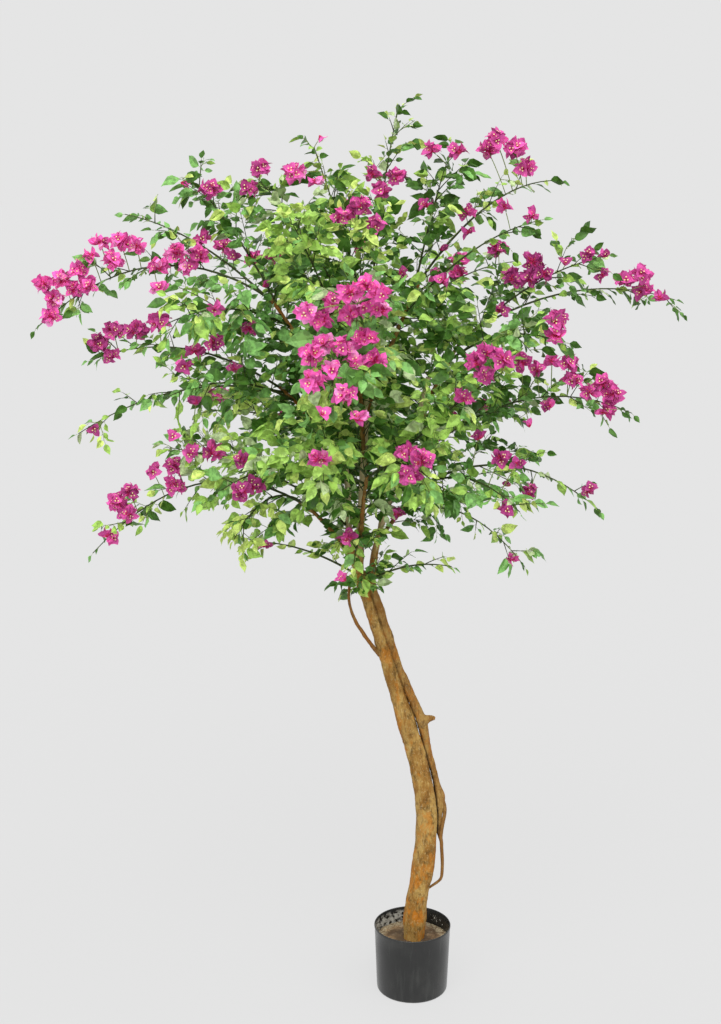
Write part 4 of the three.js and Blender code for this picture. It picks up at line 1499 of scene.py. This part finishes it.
class BOUGAINVILLEA_OT_blossom(bpy.types.Operator):
    """Make the heads of bracts with their florets"""

    bl_idname = "bougainvillea.blossom"
    bl_label = "Blossom"

    def execute(self, context):
        sizes = context.scene.blossom_sizes
        blossom = Blossom(sizes)
        for head in heads():
            blossom.add_head(head)
        for tone, heap in blossom.bracts.items():
            finish = plain_fabric("bract_" + tone, getattr(sizes, tone), gloss=0.15, glow=0.08, mottle=0.2)
            heap.piece("bracts_" + tone, finish)
        blossom.bases.piece("bract_bases", plain_fabric("bract_base", sizes.base, gloss=0.15, glow=0.08))
        blossom.florets.piece("floret_ends", plain_fabric("floret_cream", sizes.floret))
        blossom.tubes.piece("floret_tubes", plain_fabric("floret_red", sizes.throat))
        green = context.scene.twig_sizes.stalk_green
        blossom.stalks.piece("head_stalks", plain_fabric("head_stalk_green", green))
        return {"FINISHED"}


class BOUGAINVILLEA_OT_stage(bpy.types.Operator):
    """Set the camera, a plain pale floor and soft light"""

    bl_idname = "bougainvillea.stage"
    bl_label = "Stage"

    def execute(self, context):
        settings = context.scene.stage_settings
        camera = bpy.data.cameras.new("camera")
        camera.lens, camera.sensor_width = settings.lens, 36
        camera.clip_end = 200
        eye = bpy.data.objects.new("camera", camera)
        eye.location = (settings.aside, -settings.distance, settings.height)
        eye.rotation_euler = (math.pi / 2 - settings.tilt, 0, 0)
        context.scene.collection.objects.link(eye)
        context.scene.camera = eye

        world = bpy.data.worlds.new("pale_backdrop")
        context.scene.world = world
        world.use_nodes = True
        back = world.node_tree.nodes["Background"]
        back.inputs["Color"].default_value = opaque((settings.backdrop,) * 3)

        lights = (("key", settings.key, (42, -14), 50), ("fill", settings.fill, (42, 42), 60))
        shone = 0
        for name, strength, (lean, bearing), size in lights:
            lamp = bpy.data.lights.new(name, "SUN")
            lamp.energy, lamp.angle = strength, math.radians(size)
            light = bpy.data.objects.new(name, lamp)
            light.rotation_euler = (math.radians(lean), 0, math.radians(bearing))
            context.scene.collection.objects.link(light)
            shone += strength * math.cos(math.radians(lean)) / math.pi

        bm = bmesh.new()
        bmesh.ops.create_circle(bm, cap_ends=True, segments=96, radius=60)
        floor = bpy.data.objects.new("floor", mesh_of(bm, "floor"))
        context.scene.collection.objects.link(floor)
        lit = settings.floor_share * (settings.backdrop + shone)
        finish = Finish("pale_floor", Base_Color=opaque((settings.floor_share,) * 3), Roughness=1.0,
                        Specular_IOR_Level=0.0, Emission_Color=opaque((1, 1, 1)),
                        Emission_Strength=settings.backdrop - lit)
        floor.data.materials.append(finish.material)
        floor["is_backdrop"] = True
        context.scene.view_settings.view_transform = "Standard"
        return {"FINISHED"}


OPERATORS = (
    BOUGAINVILLEA_OT_stage, BOUGAINVILLEA_OT_pot, BOUGAINVILLEA_OT_mortar, BOUGAINVILLEA_OT_stems,
    BOUGAINVILLEA_OT_vines, BOUGAINVILLEA_OT_limbs, BOUGAINVILLEA_OT_boughs, BOUGAINVILLEA_OT_twigs,
    BOUGAINVILLEA_OT_leaves, BOUGAINVILLEA_OT_blossom,
)
SETTINGS = {
    "stage_settings": StageSettings, "pot_sizes": PotSizes, "mortar_sizes": MortarSizes,
    "wood_sizes": WoodSizes, "twig_sizes": TwigSizes, "leaf_sizes": LeafSizes,
    "blossom_sizes": BlossomSizes,
}


class BOUGAINVILLEA_PT_panel(bpy.types.Panel):
    """Lists the tree's settings and operators"""

    bl_idname = "BOUGAINVILLEA_PT_panel"
    bl_label = "Bougainvillea"
    bl_space_type = "VIEW_3D"
    bl_region_type = "UI"
    bl_category = "Bougainvillea"

    def draw(self, context):
        for operator in OPERATORS:
            self.layout.operator(operator.bl_idname)
        for name, group in SETTINGS.items():
            box = self.layout.box()
            box.label(text=group.__doc__)
            for setting in group.__annotations__:
                box.prop(getattr(context.scene, name), setting)


def register():
    for group in (*SETTINGS.values(), *OPERATORS, BOUGAINVILLEA_PT_panel):
        bpy.utils.register_class(group)
    for name, group in SETTINGS.items():
        setattr(bpy.types.Scene, name, PointerProperty(type=group))


def unregister():
    for name in SETTINGS:
        delattr(bpy.types.Scene, name)
    for group in reversed((*SETTINGS.values(), *OPERATORS, BOUGAINVILLEA_PT_panel)):
        bpy.utils.unregister_class(group)


def main():
    cad_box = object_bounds()
    register()
    for operator in OPERATORS:
        group, name = operator.bl_idname.split(".")
        getattr(getattr(bpy.ops, group), name)()
    boxes = {"cad": cad_box, "visual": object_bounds()}
    sizes = {key: [list(corner) for corner in box] for key, box in boxes.items()}


if __name__ == "__main__":
    main()
